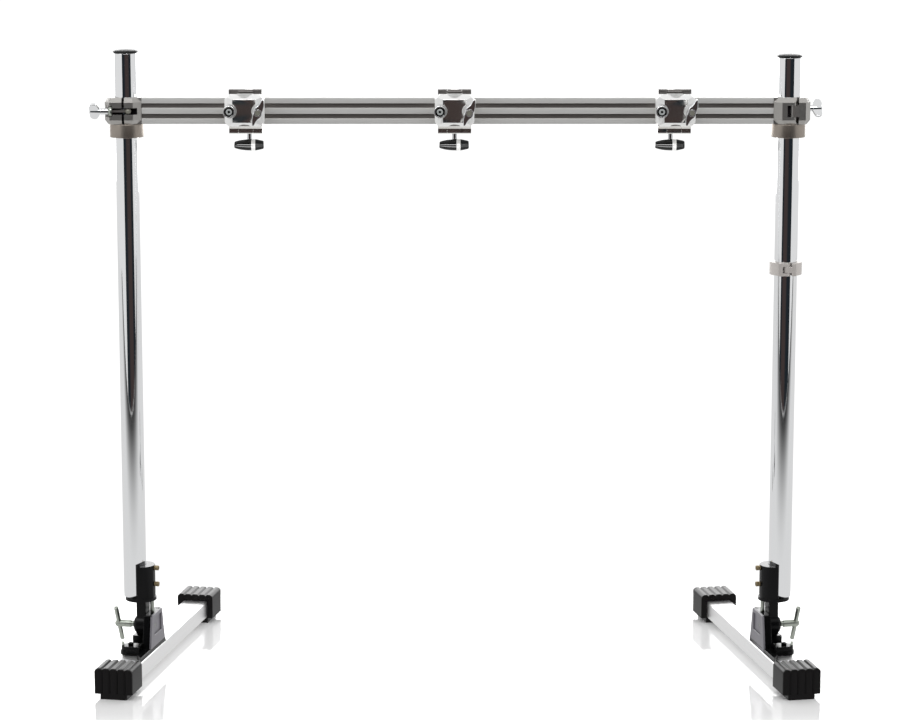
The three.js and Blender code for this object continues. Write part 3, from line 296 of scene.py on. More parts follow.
def finish(
    name,
    colour,
    metallic,
    roughness,
    grain_mm,
    stretch=(1, 1, 1),
    spread=0.05,
    bump=0.0,
    sheen=0.5,
    dark=None,
):
    """A finish whose roughness and tone wander over a grain of real size: the roughness by the
    spread either way, the tone between the dark colour and the colour. The bump is in millimetres.
    The sheen is how strongly a plastic or an enamel mirrors; metals keep the middle value."""
    material = bpy.data.materials.new(name)
    material.use_nodes = True
    tree = material.node_tree
    shader = tree.nodes["Principled BSDF"]
    shader.inputs["Metallic"].default_value = metallic
    shader.inputs["Specular IOR Level"].default_value = sheen
    where = add(tree, "ShaderNodeTexCoord")
    scaled = add(tree, "ShaderNodeMapping", {"Scale": stretch}, Vector=where.outputs["Object"])
    grain = {"Scale": 1 / (grain_mm * MM), "Detail": 3.0, "Roughness": 0.55}
    noise = add(tree, "ShaderNodeTexNoise", grain, Vector=scaled.outputs["Vector"])
    limits = {"To Min": max(0.0, roughness - spread), "To Max": roughness + spread}
    rough = add(tree, "ShaderNodeMapRange", limits, Value=noise.outputs["Fac"])
    tree.links.new(rough.outputs["Result"], shader.inputs["Roughness"])
    tone = add(tree, "ShaderNodeMix", {"data_type": "RGBA"}, Factor=noise.outputs["Fac"])
    tone.inputs[MIX_FIRST].default_value = linear(dark or colour)
    tone.inputs[MIX_SECOND].default_value = linear(colour)
    tree.links.new(tone.outputs[MIX_RESULT], shader.inputs["Base Color"])
    if bump:
        height = {"Strength": BUMP_STRENGTH, "Distance": bump * MM}
        relief = add(tree, "ShaderNodeBump", height, Height=noise.outputs["Fac"])
        tree.links.new(relief.outputs["Normal"], shader.inputs["Normal"])
    return material


# Each finish has its name, colour, metallic share, roughness and grain in millimetres, and how
# much the grain is stretched where it has a direction.

# Chrome plate over drawn steel: mirror bright, with long soft bands of the room in it.
CHROME = finish("chrome_plated_steel", "f2f3f4", 1, 0.05, 8, spread=0.02)
# Die cast aluminium, tumbled: a grey satin with a fine tooth.
CAST = finish("tumbled_cast_aluminium", "bdbbb8", 0.92, 0.34, 1.2, spread=0.08, bump=0.02, dark="a8a6a2")
# Buffed cast aluminium: bright, with a faint wander in its gloss.
POLISHED = finish("buffed_cast_aluminium", "f4f2ef", 1, 0.18, 2, spread=0.03, dark="ecebe7")
# The same casting blasted and left matt, on the slopes round each pad: an even near-white.
BLASTED = finish("blasted_cast_aluminium", "f2f2f1", 0.5, 0.42, 1.2, spread=0.04, dark="eaeae9")
# Brushed tube: pale satin whose fine lines run along the floor bars.
BRUSHED = finish("brushed_aluminium_tube", "fbfbfb", 1, 0.42, 0.5, (1, 0.03, 1), 0.06, 0.01, dark="f0f0f0")
# The ridge and its knuckle: a rougher skin, duller than the faces round it, and a darker colour that is
# painted shade on the round barrels.
RIDGE_SKIN_AND_PAINTED_SHADE = finish("as_cast_aluminium", "7d7a78", 1, 0.45, 0.9, spread=0.08, bump=0.05, dark="5f5c5a")
# The casting inside the bolt's slot, painted dark: painted shade, so that the slot reads as deep.
SLOT_PAINTED_SHADE = finish("blackened_slot_casting", "262426", 1, 0.6, 0.9, spread=0.08, bump=0.03)
# Clear anodised extrusion: drawn lines along the bar break the light into a pale satin.
ANODISED = finish("anodised_extrusion", "dededc", 0.6, 0.44, 0.6, (0.02, 1, 1), 0.06, 0.01, dark="d2d2d0")
# The groove floors, painted darker than the lands: painted shade in the grooves.
GROOVE_PAINTED_SHADE = finish("anodised_groove_floor", "8f8b88", 1, 0.45, 0.6, (0.02, 1, 1), 0.06, 0.01, dark="827e7b")
# Satin nickel plate on turned collars: warm grey with rings from the lathe.
NICKEL = finish("satin_nickel_plate", "b3aaa1", 1, 0.4, 0.5, (1, 1, 6), 0.06, dark="a0978d")
# Blasted steel of the memory collar, plated: an even silver grey.
SILVER = finish("blasted_steel_collar", "cac5c1", 0.45, 0.42, 0.8, spread=0.06, bump=0.01, dark="b9b4b0")
# Bright zinc plate: cool and slightly green, a little cloudy.
ZINC = finish("bright_zinc_plate", "bcc1b9", 1, 0.3, 2, spread=0.08, dark="a6aca2")
# The swing bolt's zinc plate, a little duller and painted darker all over: painted shade for the bolt that
# lies inside the slot.
ZINC_PAINTED_SHADE = finish("oiled_zinc_thread", "8a8684", 0.8, 0.38, 1, spread=0.08, dark="5c5858")
# The stud's cut end and the swing bolt's eye, plain steel gone a little brown.
CUT_STEEL = finish("cut_steel_end", "85847a", 0.4, 0.45, 0.6, spread=0.05, dark="727168")
# Yellow passivated zinc on the saddle bolts.
BRONZE = finish("yellow_passivated_zinc", "9c8c6c", 0.8, 0.36, 2, spread=0.06, dark="7c6f55")
# Turned steel left bright in the cup bolts' middles: a flat pale grey.
TURNED_STEEL = finish("turned_steel_core", "b9bdbd", 0.5, 0.45, 0.4, spread=0.05, dark="a9adad")
# Black enamel baked on a casting: deep black with a soft gloss.
ENAMEL = finish("baked_black_enamel", "09090a", 0, 0.24, 1.5, spread=0.06, bump=0.03, sheen=0.16)
# The cheek plates' enamel with a stippled bump, painted grey: a painted sheen for the light that the black
# enamel mirrors.
CHEEK_PAINTED_SHEEN = finish("stippled_enamel", "76747a", 0, 0.42, 0.7, spread=0.08, bump=0.06, dark="66646a")
# Moulded nylon: near black with a fine even bloom.
NYLON = finish("moulded_black_nylon", "0e1111", 0, 0.4, 0.8, spread=0.05, bump=0.01, sheen=0.2)
# The white ring moulded into each grip.
WHITE_NYLON = finish("moulded_white_nylon", "f2f2f0", 0, 0.35, 0.8, spread=0.05, dark="eaeae8")
# Glossy dipped grip, black with clear streaks of light.
DIPPED = finish("dipped_black_vinyl", "050606", 0, 0.06, 2, spread=0.02, sheen=0.4)
# Moulded rubber: dull black in front, with a pale sheen on the faces seen at a slant.
RUBBER = finish(
    "moulded_black_rubber", "0d0b0c", 0, 0.32, 1, spread=0.06, bump=0.02, sheen=0.14, dark="0a0909"
)
# Black oxide on the small cap screws; inside the cup bolts' ring and socket the same black is painted
# shade.
OXIDE_AND_PAINTED_SHADE = finish("black_oxide_steel", "161718", 1, 0.4, 1, spread=0.06)


# Pieces
MERGE_DISTANCE = 1e-6
THINNEST_EDGE = 1e-7
FLAT_WITHIN = math.radians(0.5)


def tidy(mesh, outwards=False, flatten=False):
    """Merges doubled points, drops faces without area, joins flat faces and turns faces outwards."""
    work = bmesh.new()
    work.from_mesh(mesh)
    bmesh.ops.remove_doubles(work, verts=work.verts, dist=MERGE_DISTANCE)
    bmesh.ops.dissolve_degenerate(work, dist=THINNEST_EDGE, edges=work.edges)
    if flatten:
        bmesh.ops.dissolve_limit(work, angle_limit=FLAT_WITHIN, verts=work.verts, edges=work.edges)
    if outwards:
        bmesh.ops.recalc_face_normals(work, faces=work.faces)
    work.to_mesh(mesh)
    work.free()


def show(mesh, name, material, body, stands_for, bevel, smooth):
    """Puts a mesh in the scene as one piece, on its body. Edges sharper than the angle smooth, in
    degrees, stay sharp, and are rounded by the bevel, in millimetres."""
    piece = bpy.data.objects.new(name, mesh)
    bpy.context.scene.collection.objects.link(piece)
    mesh.materials.clear()
    mesh.materials.append(material)
    mesh.shade_smooth()
    mesh.set_sharp_from_angle(angle=math.radians(smooth))
    if bevel:
        rim = piece.modifiers.new("rounded_edges", "BEVEL")
        rim.width = bevel * MM
        rim.segments = 3
        rim.limit_method = "ANGLE"
        rim.angle_limit = math.radians(smooth)
        rim.harden_normals = True
        rim.miter_outer = "MITER_ARC"
    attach(piece, body)
    if stands_for:
        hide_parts(*stands_for)
    return piece


def solid(name, shapes, where, material, body, stands_for=(), bevel=0.0, smooth=35):
    """Makes one piece of one or more shapes, rounds its edges and sets it on its body."""
    points, faces = [], []
    base = 0
    for shape_points, shape_faces in shapes:
        points.append(shape_points)
        faces += [tuple(int(v) + base for v in face) for face in shape_faces]
        base += len(shape_points)
    flat = np.concatenate(points)
    world = (flat @ where[:3, :3].T + where[:3, 3]) * MM
    mesh = bpy.data.meshes.new(name)
    mesh.from_pydata(world.tolist(), [], faces)
    tidy(mesh, outwards=True)
    return show(mesh, name, material, body, stands_for, bevel, smooth)


def second_finish(piece, material, where, chosen):
    """Gives a second finish to the faces whose centres, in the part's own place, pass the test."""
    mesh = piece.data
    mesh.materials.append(material)
    centres = np.empty(len(mesh.polygons) * 3)
    mesh.polygons.foreach_get("center", centres)
    local = (centres.reshape(-1, 3) / MM - where[:3, 3]) @ np.linalg.inv(where[:3, :3]).T
    index = np.empty(len(mesh.polygons), np.int32)
    mesh.polygons.foreach_get("material_index", index)
    index[chosen(local)] = len(mesh.materials) - 1
    mesh.polygons.foreach_set("material_index", index)


def softened(node, material, body, bevel, smooth=32):
    """A copy of a solid with its flat faces made whole and its edges rounded, in its place."""
    mesh = frame["nodes"][node].data.copy()
    mesh.name = f"{node}_finished"
    tidy(mesh, flatten=True)
    return show(mesh, mesh.name, material, body, (node,), bevel, smooth)


# Crossbar and posts
def bar_outline():
    """The crossbar's section, y and z: a box with two shallow grooves on the front and the back."""
    high, low = GROOVE_EDGES
    face, bed = BAR_DEPTH_HALF, BAR_DEPTH_HALF - GROOVE_DEPTH
    groove_edge = [(face, high), (bed, high), (bed, low), (face, low)]
    groove_edge += [(y, -z) for y, z in reversed(groove_edge)]
    side = [(face, BAR_HEIGHT_HALF)] + groove_edge + [(face, -BAR_HEIGHT_HALF)]
    corner, lip, root = 0.8, 0.4, 0.3
    radii = [corner] + [lip, root, root, lip] * 2 + [corner]
    return eased(side + [(-y, -z) for y, z in side], radii * 2, 4, True)


def in_grooves(local):
    """The faces sunk under the bar's front or back and outside its hollow."""
    depth = np.abs(local[:, 1])
    sunk = (depth < BAR_DEPTH_HALF - 0.5) & (depth > HOLLOW_DEPTH_HALF + 1.3)
    return sunk & (np.abs(local[:, 2]) < GROOVE_EDGES[0] + 0.2)


def crossbar():
    """A grooved tube along x, whose hollow is its own outline drawn in."""
    outer = bar_outline()
    inner = outer * np.array([HOLLOW_DEPTH_HALF / BAR_DEPTH_HALF, HOLLOW_HEIGHT_HALF / BAR_HEIGHT_HALF])
    shape = tube("x", outer, inner, -BAR_END, BAR_END)
    piece = solid("crossbar", [shape], BAR, ANODISED, "bar", ("cross_bar",))
    # The groove floors take the darker colour as painted shade.
    second_finish(piece, GROOVE_PAINTED_SHADE, BAR, in_grooves)


def post_tube(name, side):
    """A turned tube, its wall's four corners eased."""
    top = POST_HIGH[side]
    wall = [(POST_BORE, POST_LOW), (POST_RADIUS, POST_LOW), (POST_RADIUS, top), (POST_BORE, top)]
    shape = turned("z", eased(wall, 0.5, 3, True), segments=128, closed=True)
    solid(f"{name}_tube", [shape], post_place(side), CHROME, f"{name}_upright", (f"{name}_post",))


def post_cap(name, side):
    """The cap: a plug, a thin undercut rim and a low dome."""
    base = POST_HIGH[side] + 0.3
    plug, plug_low, rim = 17, base - 14, 20.6
    rows = [(0, plug_low), (plug, plug_low), (plug, base), (POST_RADIUS, base), (rim, base + 1.6)]
    rows += [(rim, base + 2.5), (17.8, base + 4.1), (10.3, base + 5.2), (0, base + 5.6)]
    shape = turned("z", eased(rows, [0, 0.6, 0, 0.2, 0.3, 0.6, 3, 5, 0], 5), segments=96)
    solid(f"{name}_cap", [shape], post_place(side), NYLON, f"{name}_upright", (f"{name}_post_cap",))


def stop_collar(name, side):
    """A split ring under the end clamp, with its cap screw across the slit at the back."""
    top, low = COLLAR_TOP, COLLAR_TOP - COLLAR_HIGH
    wall = [(BORE_RADIUS, low), (COLLAR_RADIUS, low), (COLLAR_RADIUS, top), (BORE_RADIUS, top)]
    back, half_slit = 90, 2.5
    ring = part_ring(eased(wall, 0.9, 4, True), back + half_slit, back + 360 - half_slit)
    body = f"{name}_collar"
    where = post_place(side)
    solid(f"{name}_collar_ring", [ring], where, NICKEL, body, (f"{name}_stop_collar",))
    line = (0, 23.6, COLLAR_TOP - COLLAR_HIGH / 2)
    socket, rim, seat, sunk, end = 1.6, 2.9, 12, 16.6, 18.6
    rows = [(0, sunk), (socket, sunk), (socket, end), (rim, end), (rim, seat), (0, seat)]
    head = turned("x", eased(rows, 0.2, 2), line, segments=32)
    shank = thread("x", radius=1.9, depth=0.25, pitch=0.7, low=-8, high=seat, at=line, segments=24)
    solid(f"{name}_collar_screw", [head, shank], where, OXIDE_AND_PAINTED_SHADE, body)


def memory_pin():
    """The pin of the memory collar's hinge, its two ends a little rounded over."""
    radius, half = 1.9, 10.8
    rows = eased([(0, -half), (radius, -half), (radius, half), (0, half)], [0, 0.4, 0.4, 0], 3)
    shape = turned("z", rows, (0, MEMORY_HINGE, MEMORY_Z), segments=24)
    solid("memory_collar_pin", [shape], post_place(1), ZINC, "memory_band")


# End clamps: swing bolt, washer and wing nut, measured from the middle of the bolt's eye
EYE = (5.6, -25.9, 0.0)
EYE_RADIUS = 5.2


def swing_bolt(name, side):
    """A ball eye and a threaded shank that runs outwards from it."""
    eye = turned("x", arc(0, 0, EYE_RADIUS, -90, 90), EYE, segments=48)
    shank = thread("x", radius=3.2, depth=0.45, pitch=1.25, low=-58.4, high=-3.6, at=EYE)
    where = end_place(side)
    slot, node = "zinc", f"{name}_swing_bolt"
    # The bolt is painted darker than the other zinc: painted shade inside the slot.
    piece = solid(f"{name}_eye_bolt", [eye, shank], where, ZINC_PAINTED_SHADE, f"{name}_swing", (node,))
    second_finish(piece, CUT_STEEL, where, lambda local: local[:, 0] > EYE[0] - EYE_RADIUS + 0.1)


def bolt_washer(name, side):
    """A turned washer, flat against the jaw and rounded towards the nut."""
    hole, rim, flat, crown = 3.5, 9, -26.9, -32.5
    rows = [(hole, flat), (hole, crown), (5.5, crown), (rim, -29.7), (rim, flat)]
    shape = turned("x", eased(rows, [0.3, 0.3, 0.6, 1.6, 0.5], 4, True), EYE, segments=64, closed=True)
    piece_name, node = f"{name}_half_round_washer", f"{name}_bolt_washer"
    solid(piece_name, [shape], end_place(side), ZINC, f"{name}_washer", (node,))


def wing_nut(name, side):
    """A waisted hub and two flat ears with round corners, turned as it was left."""
    start, neck, end = -32.8, -45.8, -63.8
    rows = [(0, start), (5.5, start), (5.5, neck), (4.5, end), (0, end)]
    hub = turned("x", eased(rows, [0, 0.6, 4, 2, 0], 5), EYE, segments=64)
    ear = [(neck, 2.8), (neck - 3.5, 12), (-52.8, 18), (-60, 18), (end, 13), (end, 2.8)]
    half = eased(ear, [0, 4, 3.4, 4, 4, 0], 5)
    outline = np.concatenate([half, half[::-1] * np.array([1, -1])])
    ears = prism("y", outline[:, ::-1], -2.3, 2.3, EYE)
    lean = math.radians(42)
    shapes = [tilted(shape, "x", lean, EYE) for shape in (hub, ears)]
    slot, node = "chrome", f"{name}_wing_nut"
    solid(f"{name}_winged_nut", shapes, end_place(side), CHROME, f"{name}_nut", (node,), 1.4)


# Legs, measured from the post's axis on the floor
def saddle_bolts(name, side):
    """Two cap bolts with a collar, a waist and a sunk socket."""
    shank, collar, waist, head, socket = 3, 4.4, 3.6, 4.3, 2.3
    tip, seat, sunk, end = 19.6, 34.9, 39.2, 41.9
    rows = [(0, tip), (shank, tip), (shank, seat), (collar, seat), (collar, 36.2), (waist, 36.4)]
    rows += [(waist, 37.3), (head, 37.6), (head, end), (socket, end), (socket, sunk), (0, sunk)]
    profile = eased(rows, [0, 0.2, 0, 0.3, 0.3, 0.2, 0.2, 0.4, 0.6, 0.3, 0.2, 0], 3)
    for level, z in (("lower", 152), ("upper", 180)):
        shape = turned("x", profile, (0, 0, z), segments=48)
        node = f"{name}_saddle_bolt_{level}"
        solid(f"{node}_cap", [shape], leg_place(side), BRONZE, f"{name}_upright", (node,))


def bracket(name, side):
    """The tilt bracket: a cheek with a bare sunk panel, a base plate with its horn, a two-layer arm
    with round ends, and a lug under the tilt bolt."""
    edge, side_face = FLOOR_SIDES
    base, top = FLOOR_TOP + 0.3, 102
    inner, sunk, arm_half = 21.5, 3, 13.5
    cheek_edge = [(-37, base), (48, base), (32, top), (-25, top)]
    panel = [(-14, 66), (28, 66), (28, 95), (-14, 95)]
    cheek = prism("x", cheek_edge, inner, side_face - sunk)
    rim = tube("x", cheek_edge, panel, side_face - sunk, side_face)
    horn = [(side_face, -97), (side_face, 48), (edge, 48), (edge, -58), (inner, -58), (25, -80)]
    plate = prism("z", horn, base, 47.4)
    layers = []
    for index in (0, 1):
        end = arc(1.6 * index, ARM_LINE, arm_half, 90, 270, 32)
        root = [(22.5, ARM_LINE - arm_half), (22.5, ARM_LINE + arm_half)]
        low = base + 7.8 * index
        layers.append(prism("z", np.concatenate([root, end]), low, low + 7.5))
    lug_edge = [(edge, 0), (17, 0), (17, 20), (edge, 20)]
    lug = prism("z", eased(lug_edge, 3, 5, True), base, 59.2)
    shapes = [cheek, rim, plate, *layers, lug]
    where = leg_place(side)
    slot, node = "black_enamel", f"{name}_tilt_bracket"
    piece = solid(f"{name}_bracket", shapes, where, ENAMEL, f"{name}_leg", (node,), 1.1)

    def on_cheek(local):
        """The cheek's outer face and the panel sunk in it."""
        return (local[:, 0] > side_face - sunk - 0.2) & (local[:, 2] > 48)

    # The cheek's grey is a painted sheen on the black enamel.
    second_finish(piece, CHEEK_PAINTED_SHEEN, where, on_cheek)


def spur_screw(name, side):
    """A threaded rod through the arm, with a blunt cone at its foot."""
    radius, at = 2.3, (-9.7, ARM_LINE, 0)
    rows = [(0, 3), (radius, 8), (radius, 16), (0, 16)]
    point = turned("z", eased(rows, [0, 0.5, 0.5, 0], 3), at, segments=32)
    threaded = thread("z", radius, depth=0.35, pitch=0.9, low=15, high=60.5, at=at, segments=32)
    node = f"{name}_spur_screw"
    solid(f"{node}_threaded", [point, threaded], leg_place(side), ZINC, f"{name}_spur", (node,))


def dome_washer(name, side):
    """A turned washer whose face is part of an ellipse: r = 15.6 cos t, h = 4.9 - 8.2 sin t."""
    hole, flat = 4.3, 4.9
    t = np.radians(np.linspace(0, 64.8, 16))
    dome = np.stack([15.6 * np.cos(t), flat - 8.2 * np.sin(t)], 1)
    rows = np.concatenate([[(hole, flat)], dome, [(hole, -3.3)]])
    shape = turned("x", rows, (0, 0, PIVOT_Z), segments=64, closed=True)
    node = f"{name}_dome_washer"
    solid(f"{node}_smooth", [shape], leg_place(side), ENAMEL, f"{name}_dome", (node,), 0.4)


def tilt_bolt(name, side):
    """A turned bolt with a long boss, and a crossbar through it, turned as it was left."""
    middle, lean = (0, 0, PIVOT_Z), math.radians(28)
    shank, collar, boss, seat, step, end = 4, 4.6, 6.1, -3.6, -7.3, -36.5
    rows = [(0, 34), (shank, 34), (shank, seat), (collar, seat), (collar, step), (boss, step)]
    rows += [(boss, end + 3.1), (3, end), (0, end)]
    hub = turned("x", eased(rows, [0, 0.6, 0, 0.3, 0.2, 0.6, 2, 1.6, 0], 5), middle, segments=64)
    handle = rod("z", radius=3.8, low=-36, high=36, at=(-29.6, 0, PIVOT_Z), ease=1.3)
    shapes = [tilted(shape, "x", lean, middle) for shape in (hub, handle)]
    node = f"{name}_tilt_bolt"
    solid(f"{node}_smooth", shapes, leg_place(side), ZINC, f"{name}_lever", (node,), 0.3)


def arm_screw(name, side):
    """The screw on the arm's top: a low domed head with a sunk socket."""
    base, rim, crown, socket, top = 55.2, 4.6, 3.4, 1.9, 59.6
    rows = [(0, base), (rim, base), (rim, top - 1), (crown, top), (socket, top)]
    rows += [(socket, top - 2), (0, top - 2)]
    screw = turned("z", eased(rows, [0, 0.3, 0.8, 0.5, 0.2, 0.2, 0], 4), (4, ARM_LINE, 0), segments=48)
    solid(f"{name}_arm_screw", [screw], leg_place(side), OXIDE_AND_PAINTED_SHADE, f"{name}_leg")


def stop_bush(name, side):
    """The bush between the saddle's flange and the cheek."""
    radius, low, high = 3.6, 101.5, 123.4
    rows = [(0, low), (radius, low), (radius, high), (0, high)]
    bush = turned("z", eased(rows, 0.5, 4), (28.6, 2, 0), segments=48)
    solid(f"{name}_stop_bush", [bush], leg_place(side), ZINC, f"{name}_leg")


def bar_section(inset, radius):
    """The floor bar's outline, z and x, drawn in by the inset, with round corners."""
    x0, x1 = FLOOR_SIDES[0] + inset, FLOOR_SIDES[1] - inset
    z0, z1 = FLOOR_LOW + inset, FLOOR_TOP - inset
    return eased([(z0, x0), (z1, x0), (z1, x1), (z0, x1)], radius, 6, True)


def floor_bar(name, side):
    """A rectangular tube with round corners, open at both ends under its feet."""
    wall = 2.5
    shape = tube("y", bar_section(0, 3.4), bar_section(wall, 1.4), -178, 364)
    node = f"{name}_floor_bar"
    solid(f"{node}_tube", [shape], leg_place(side), BRUSHED, f"{name}_leg", (node,))


RIB_PITCH = 13.0
GROOVE_IN_ROOF = 1.6
GROOVE_IN_FRONT = 2.2
GROOVE_IN_TOP = 2.4
FOOT_HALF = 32.5
FOOT_CORNER = 7.0
FOOT_HIGH = 52.0
FOOT_LONG = 58.0
FOOT_LOW = 9.0
FOOT_COLUMNS = 131
ROOM_HALF = 22.3
ROOM_HIGH = 40.0
PAD_HALF = 23.0
FOOT_ENDS = (("front", -183.3, 0.0), ("rear", 369.3, math.pi))


def groove(x):
    """A row of narrow round grooves: |cos(pi (x - pitch / 2) / pitch)| to the tenth power, between
    the ribs of a foot and none at its corners."""
    wave = np.abs(np.cos(math.pi * (x - RIB_PITCH / 2) / RIB_PITCH)) ** 10
    return wave * (np.abs(x) < FOOT_HALF - FOOT_CORNER + 2)


def foot_top(x):
    """The height of a foot's outline at x: level but for its grooves, and a quarter circle at each
    corner, z = top - r + root(r r - d d) at the distance d past the corner's centre."""
    past = np.clip(np.abs(x) - (FOOT_HALF - FOOT_CORNER), 0, FOOT_CORNER)
    return FOOT_HIGH - FOOT_CORNER + np.sqrt(FOOT_CORNER**2 - past**2) - GROOVE_IN_TOP * groove(x)


def foot_front(rows=30, rim=3.0, thick=6.0):
    """The closed end: a sheet over x and z whose y is the rim's quarter circle near the outline,
    plus the grooves, and a flat sheet behind it."""
    x = np.linspace(-FOOT_HALF, FOOT_HALF, FOOT_COLUMNS)[None]
    share = np.sin(np.linspace(0, math.pi / 2, rows))[:, None]
    z = FOOT_LOW + (foot_top(x) - FOOT_LOW) * share
    inset = np.minimum(np.minimum(foot_top(x) - z, FOOT_HALF - np.abs(x)), rim)
    y = rim - np.sqrt(rim**2 - (rim - inset) ** 2) + GROOVE_IN_FRONT * groove(x) * (inset / rim)
    x = x + 0 * z
    return slab(np.stack([x, y, z], -1), np.stack([x, 0 * y + thick, z], -1))


def foot(name, side):
    """Two rubber feet, each a ribbed sleeve over the floor bar's end with a scalloped roof inside,
    a closed ribbed front, and a narrower pad under it."""
    x = np.linspace(-FOOT_HALF, FOOT_HALF, FOOT_COLUMNS)
    arch = np.stack([foot_top(x), x], 1)
    outer = np.concatenate([[(FOOT_LOW, -FOOT_HALF)], arch, [(FOOT_LOW, FOOT_HALF)]])
    roof_x = np.linspace(-ROOM_HALF, ROOM_HALF, len(outer) - 2)
    roof = np.stack([ROOM_HIGH + GROOVE_IN_ROOF * groove(roof_x), roof_x], 1)
    room_low = FOOT_LOW + 0.2
    inner = np.concatenate([[(room_low, -ROOM_HALF)], roof, [(room_low, ROOM_HALF)]])
    sleeve = tube("y", outer, inner, 3, FOOT_LONG)
    pad_edge = [(-PAD_HALF, 0.6), (PAD_HALF, 0.6), (PAD_HALF, FOOT_LONG), (-PAD_HALF, FOOT_LONG)]
    pad = prism("z", eased(pad_edge, 4, 5, True), 0, FOOT_LOW + 0.4)
    middle = sum(FLOOR_SIDES) / 2
    for end_name, y, turn in FOOT_ENDS:
        node = f"{name}_{end_name}_foot"
        where = leg_place(side) @ place(middle, y, 0, turn)
        shapes = [sleeve, foot_front(), pad]
        solid(f"{node}_moulding", shapes, where, RUBBER, f"{name}_leg", (node,), 0.8, 50)


# Accessory clamps
CUP_DEEP = 16.4
SOCKET_RADIUS = 2.2
CORE_RADIUS = 5.1
RING_RADIUS = 7.8


def cup_bolt(name, index):
    """The bolt on the left: a cup with a bright rim, a dark ring and a socket in its middle; the ring and
    the socket are painted shade.
    """
    end = CUP_SEAT - CUP_DEEP
    shank, rim, ring_floor, socket_floor = 3.5, 9.8, end + 3, end + 6
    rows = [(0, -44), (shank, -44), (shank, CUP_SEAT), (rim, CUP_SEAT), (rim, end)]
    rows += [(RING_RADIUS, end), (RING_RADIUS, ring_floor), (CORE_RADIUS, ring_floor), (CORE_RADIUS, end)]
    rows += [(SOCKET_RADIUS, end), (SOCKET_RADIUS, socket_floor), (0, socket_floor)]
    profile = eased(rows, [0, 0.5, 0, 0.8, 1.1, 0.4, 0.2, 0.2, 0.7, 0.5, 0.2, 0], 4)
    at = (-BOLT_SPACING, 0, PIPE_RISE)
    where = clamp_place(index)
    node = f"{name}_socket_bolt"
    shape = turned("y", profile, at, segments=72)
    piece = solid(f"{node}_cup", [shape], where, CHROME, f"{name}_pipe", (node,))
    slack = 0.1

    def from_axis(local):
        """The distance from the bolt's axis."""
        return np.hypot(local[:, 0] - at[0], local[:, 2] - at[2])

    def sunk(local):
        """The walls and floors of the ring and of the socket, which take the painted shade."""
        radius = from_axis(local)
        ring = (radius > CORE_RADIUS - slack) & (radius < RING_RADIUS + slack) & (local[:, 1] > end + 0.4)
        return (ring | (radius < SOCKET_RADIUS + slack)) & (local[:, 1] < socket_floor + 0.5)

    def core(local):
        """The flat end between the socket and the ring."""
        radius = from_axis(local)
        flat = (radius < CORE_RADIUS + slack) & (radius > SOCKET_RADIUS)
        return flat & (local[:, 1] < end + 0.4)

    # Painted shade in the ring and the socket; the flat core between them stays pale.
    second_finish(piece, OXIDE_AND_PAINTED_SHADE, where, sunk)
    second_finish(piece, TURNED_STEEL, where, core)


# Half of the lever nut's outline, x and z; the other half is the same, turned half round.
WING = [(6.4, -1.5), (8.5, 4), (10.2, 11.5), (9.9, 20.2), (8.4, 22)]
WING += [(6.4, 21.1), (3.6, 15.4), (0.2, 11), (-3.6, 8.6), (-6, 5.2)]


def lever_nut(name, index):
    """The lever nut: a round hub and two wings that lean one way, with rounded rims."""
    end = CUP_SEAT - 32.5
    at = (BOLT_SPACING, 0, PIPE_RISE)
    bore, radius, far = 4.1, 6, end + 12
    hub_rows = [(bore, CUP_SEAT), (radius, CUP_SEAT), (radius, end), (bore, end)]
    hub = turned("y", eased(hub_rows, 0.5, 4, True), at, segments=64, closed=True)
    half = np.array(WING, float)
    outline = eased(np.concatenate([half, -half]), 2.4, 5, True)
    wings = prism("y", outline[:, ::-1], end + 4, far, at)
    node = f"{name}_lever_nut"
    where = clamp_place(index)
    solid(f"{node}_winged", [hub, wings], where, CHROME, f"{name}_nut", (node,), 1.5)
    stud = thread("y", radius=3.95, depth=0.3, pitch=1.2, low=end - 2.4, high=far, at=at)
    solid(f"{name}_stud_end", [stud], where, CUT_STEEL, name)


def lock_bolt(name, index):
    """The closing bolt: a shank through both jaws, a shoulder under the boss, and a stem."""
    stem, shoulder, shank, top = 4.8, 8, 4, 27
    low, step = LOCK_SEAT - 12.75, LOCK_SEAT - 2.4
    rows = [(0, low), (stem, low), (stem, step), (shoulder, step), (shoulder, LOCK_SEAT)]
    rows += [(shank, LOCK_SEAT), (shank, top), (0, top)]
    shape = turned("z", eased(rows, [0, 0.4, 0.6, 0.5, 0.5, 0, 0.5, 0], 4), (0, LOCK_LINE, 0), segments=64)
    node = f"{name}_lock_bolt"
    solid(f"{node}_smooth", [shape], clamp_place(index), CHROME, f"{name}_lever", (node,))


def lock_handle(name, index):
    """The barrel grip across the closing bolt: dipped on the left, a white ring, then nylon."""
    ring_start, ring_end, ring_radius = 3.4, 10, 9.6
    rows = [(0, -25.5), (3.6, -25.5), (5.4, -25), (7.4, -19), (8.9, -11), (9.5, -3)]
    rows += [(ring_radius, ring_start), (ring_radius, ring_end)]
    rows += [(8.2, 17), (6.9, 22.8), (5.6, 24), (0, 24)]
    profile = eased(rows, [0, 1, 1.5, 4, 5, 3.5, 0.02, 0.02, 3.5, 1.2, 0.8, 0], 6)
    barrel = turned("x", profile, (0, LOCK_LINE, LOCK_SEAT - 22.65), segments=72)
    node = f"{name}_lock_handle"
    where = clamp_place(index)
    piece = solid(f"{node}_grip", [barrel], where, DIPPED, f"{name}_lever", (node,))

    def ring(local):
        """The white ring, between two planes across the barrel."""
        return (local[:, 0] > ring_start) & (local[:, 0] < ring_end)

    second_finish(piece, WHITE_NYLON, where, ring)
    second_finish(piece, NYLON, where, lambda local: local[:, 0] > ring_end)


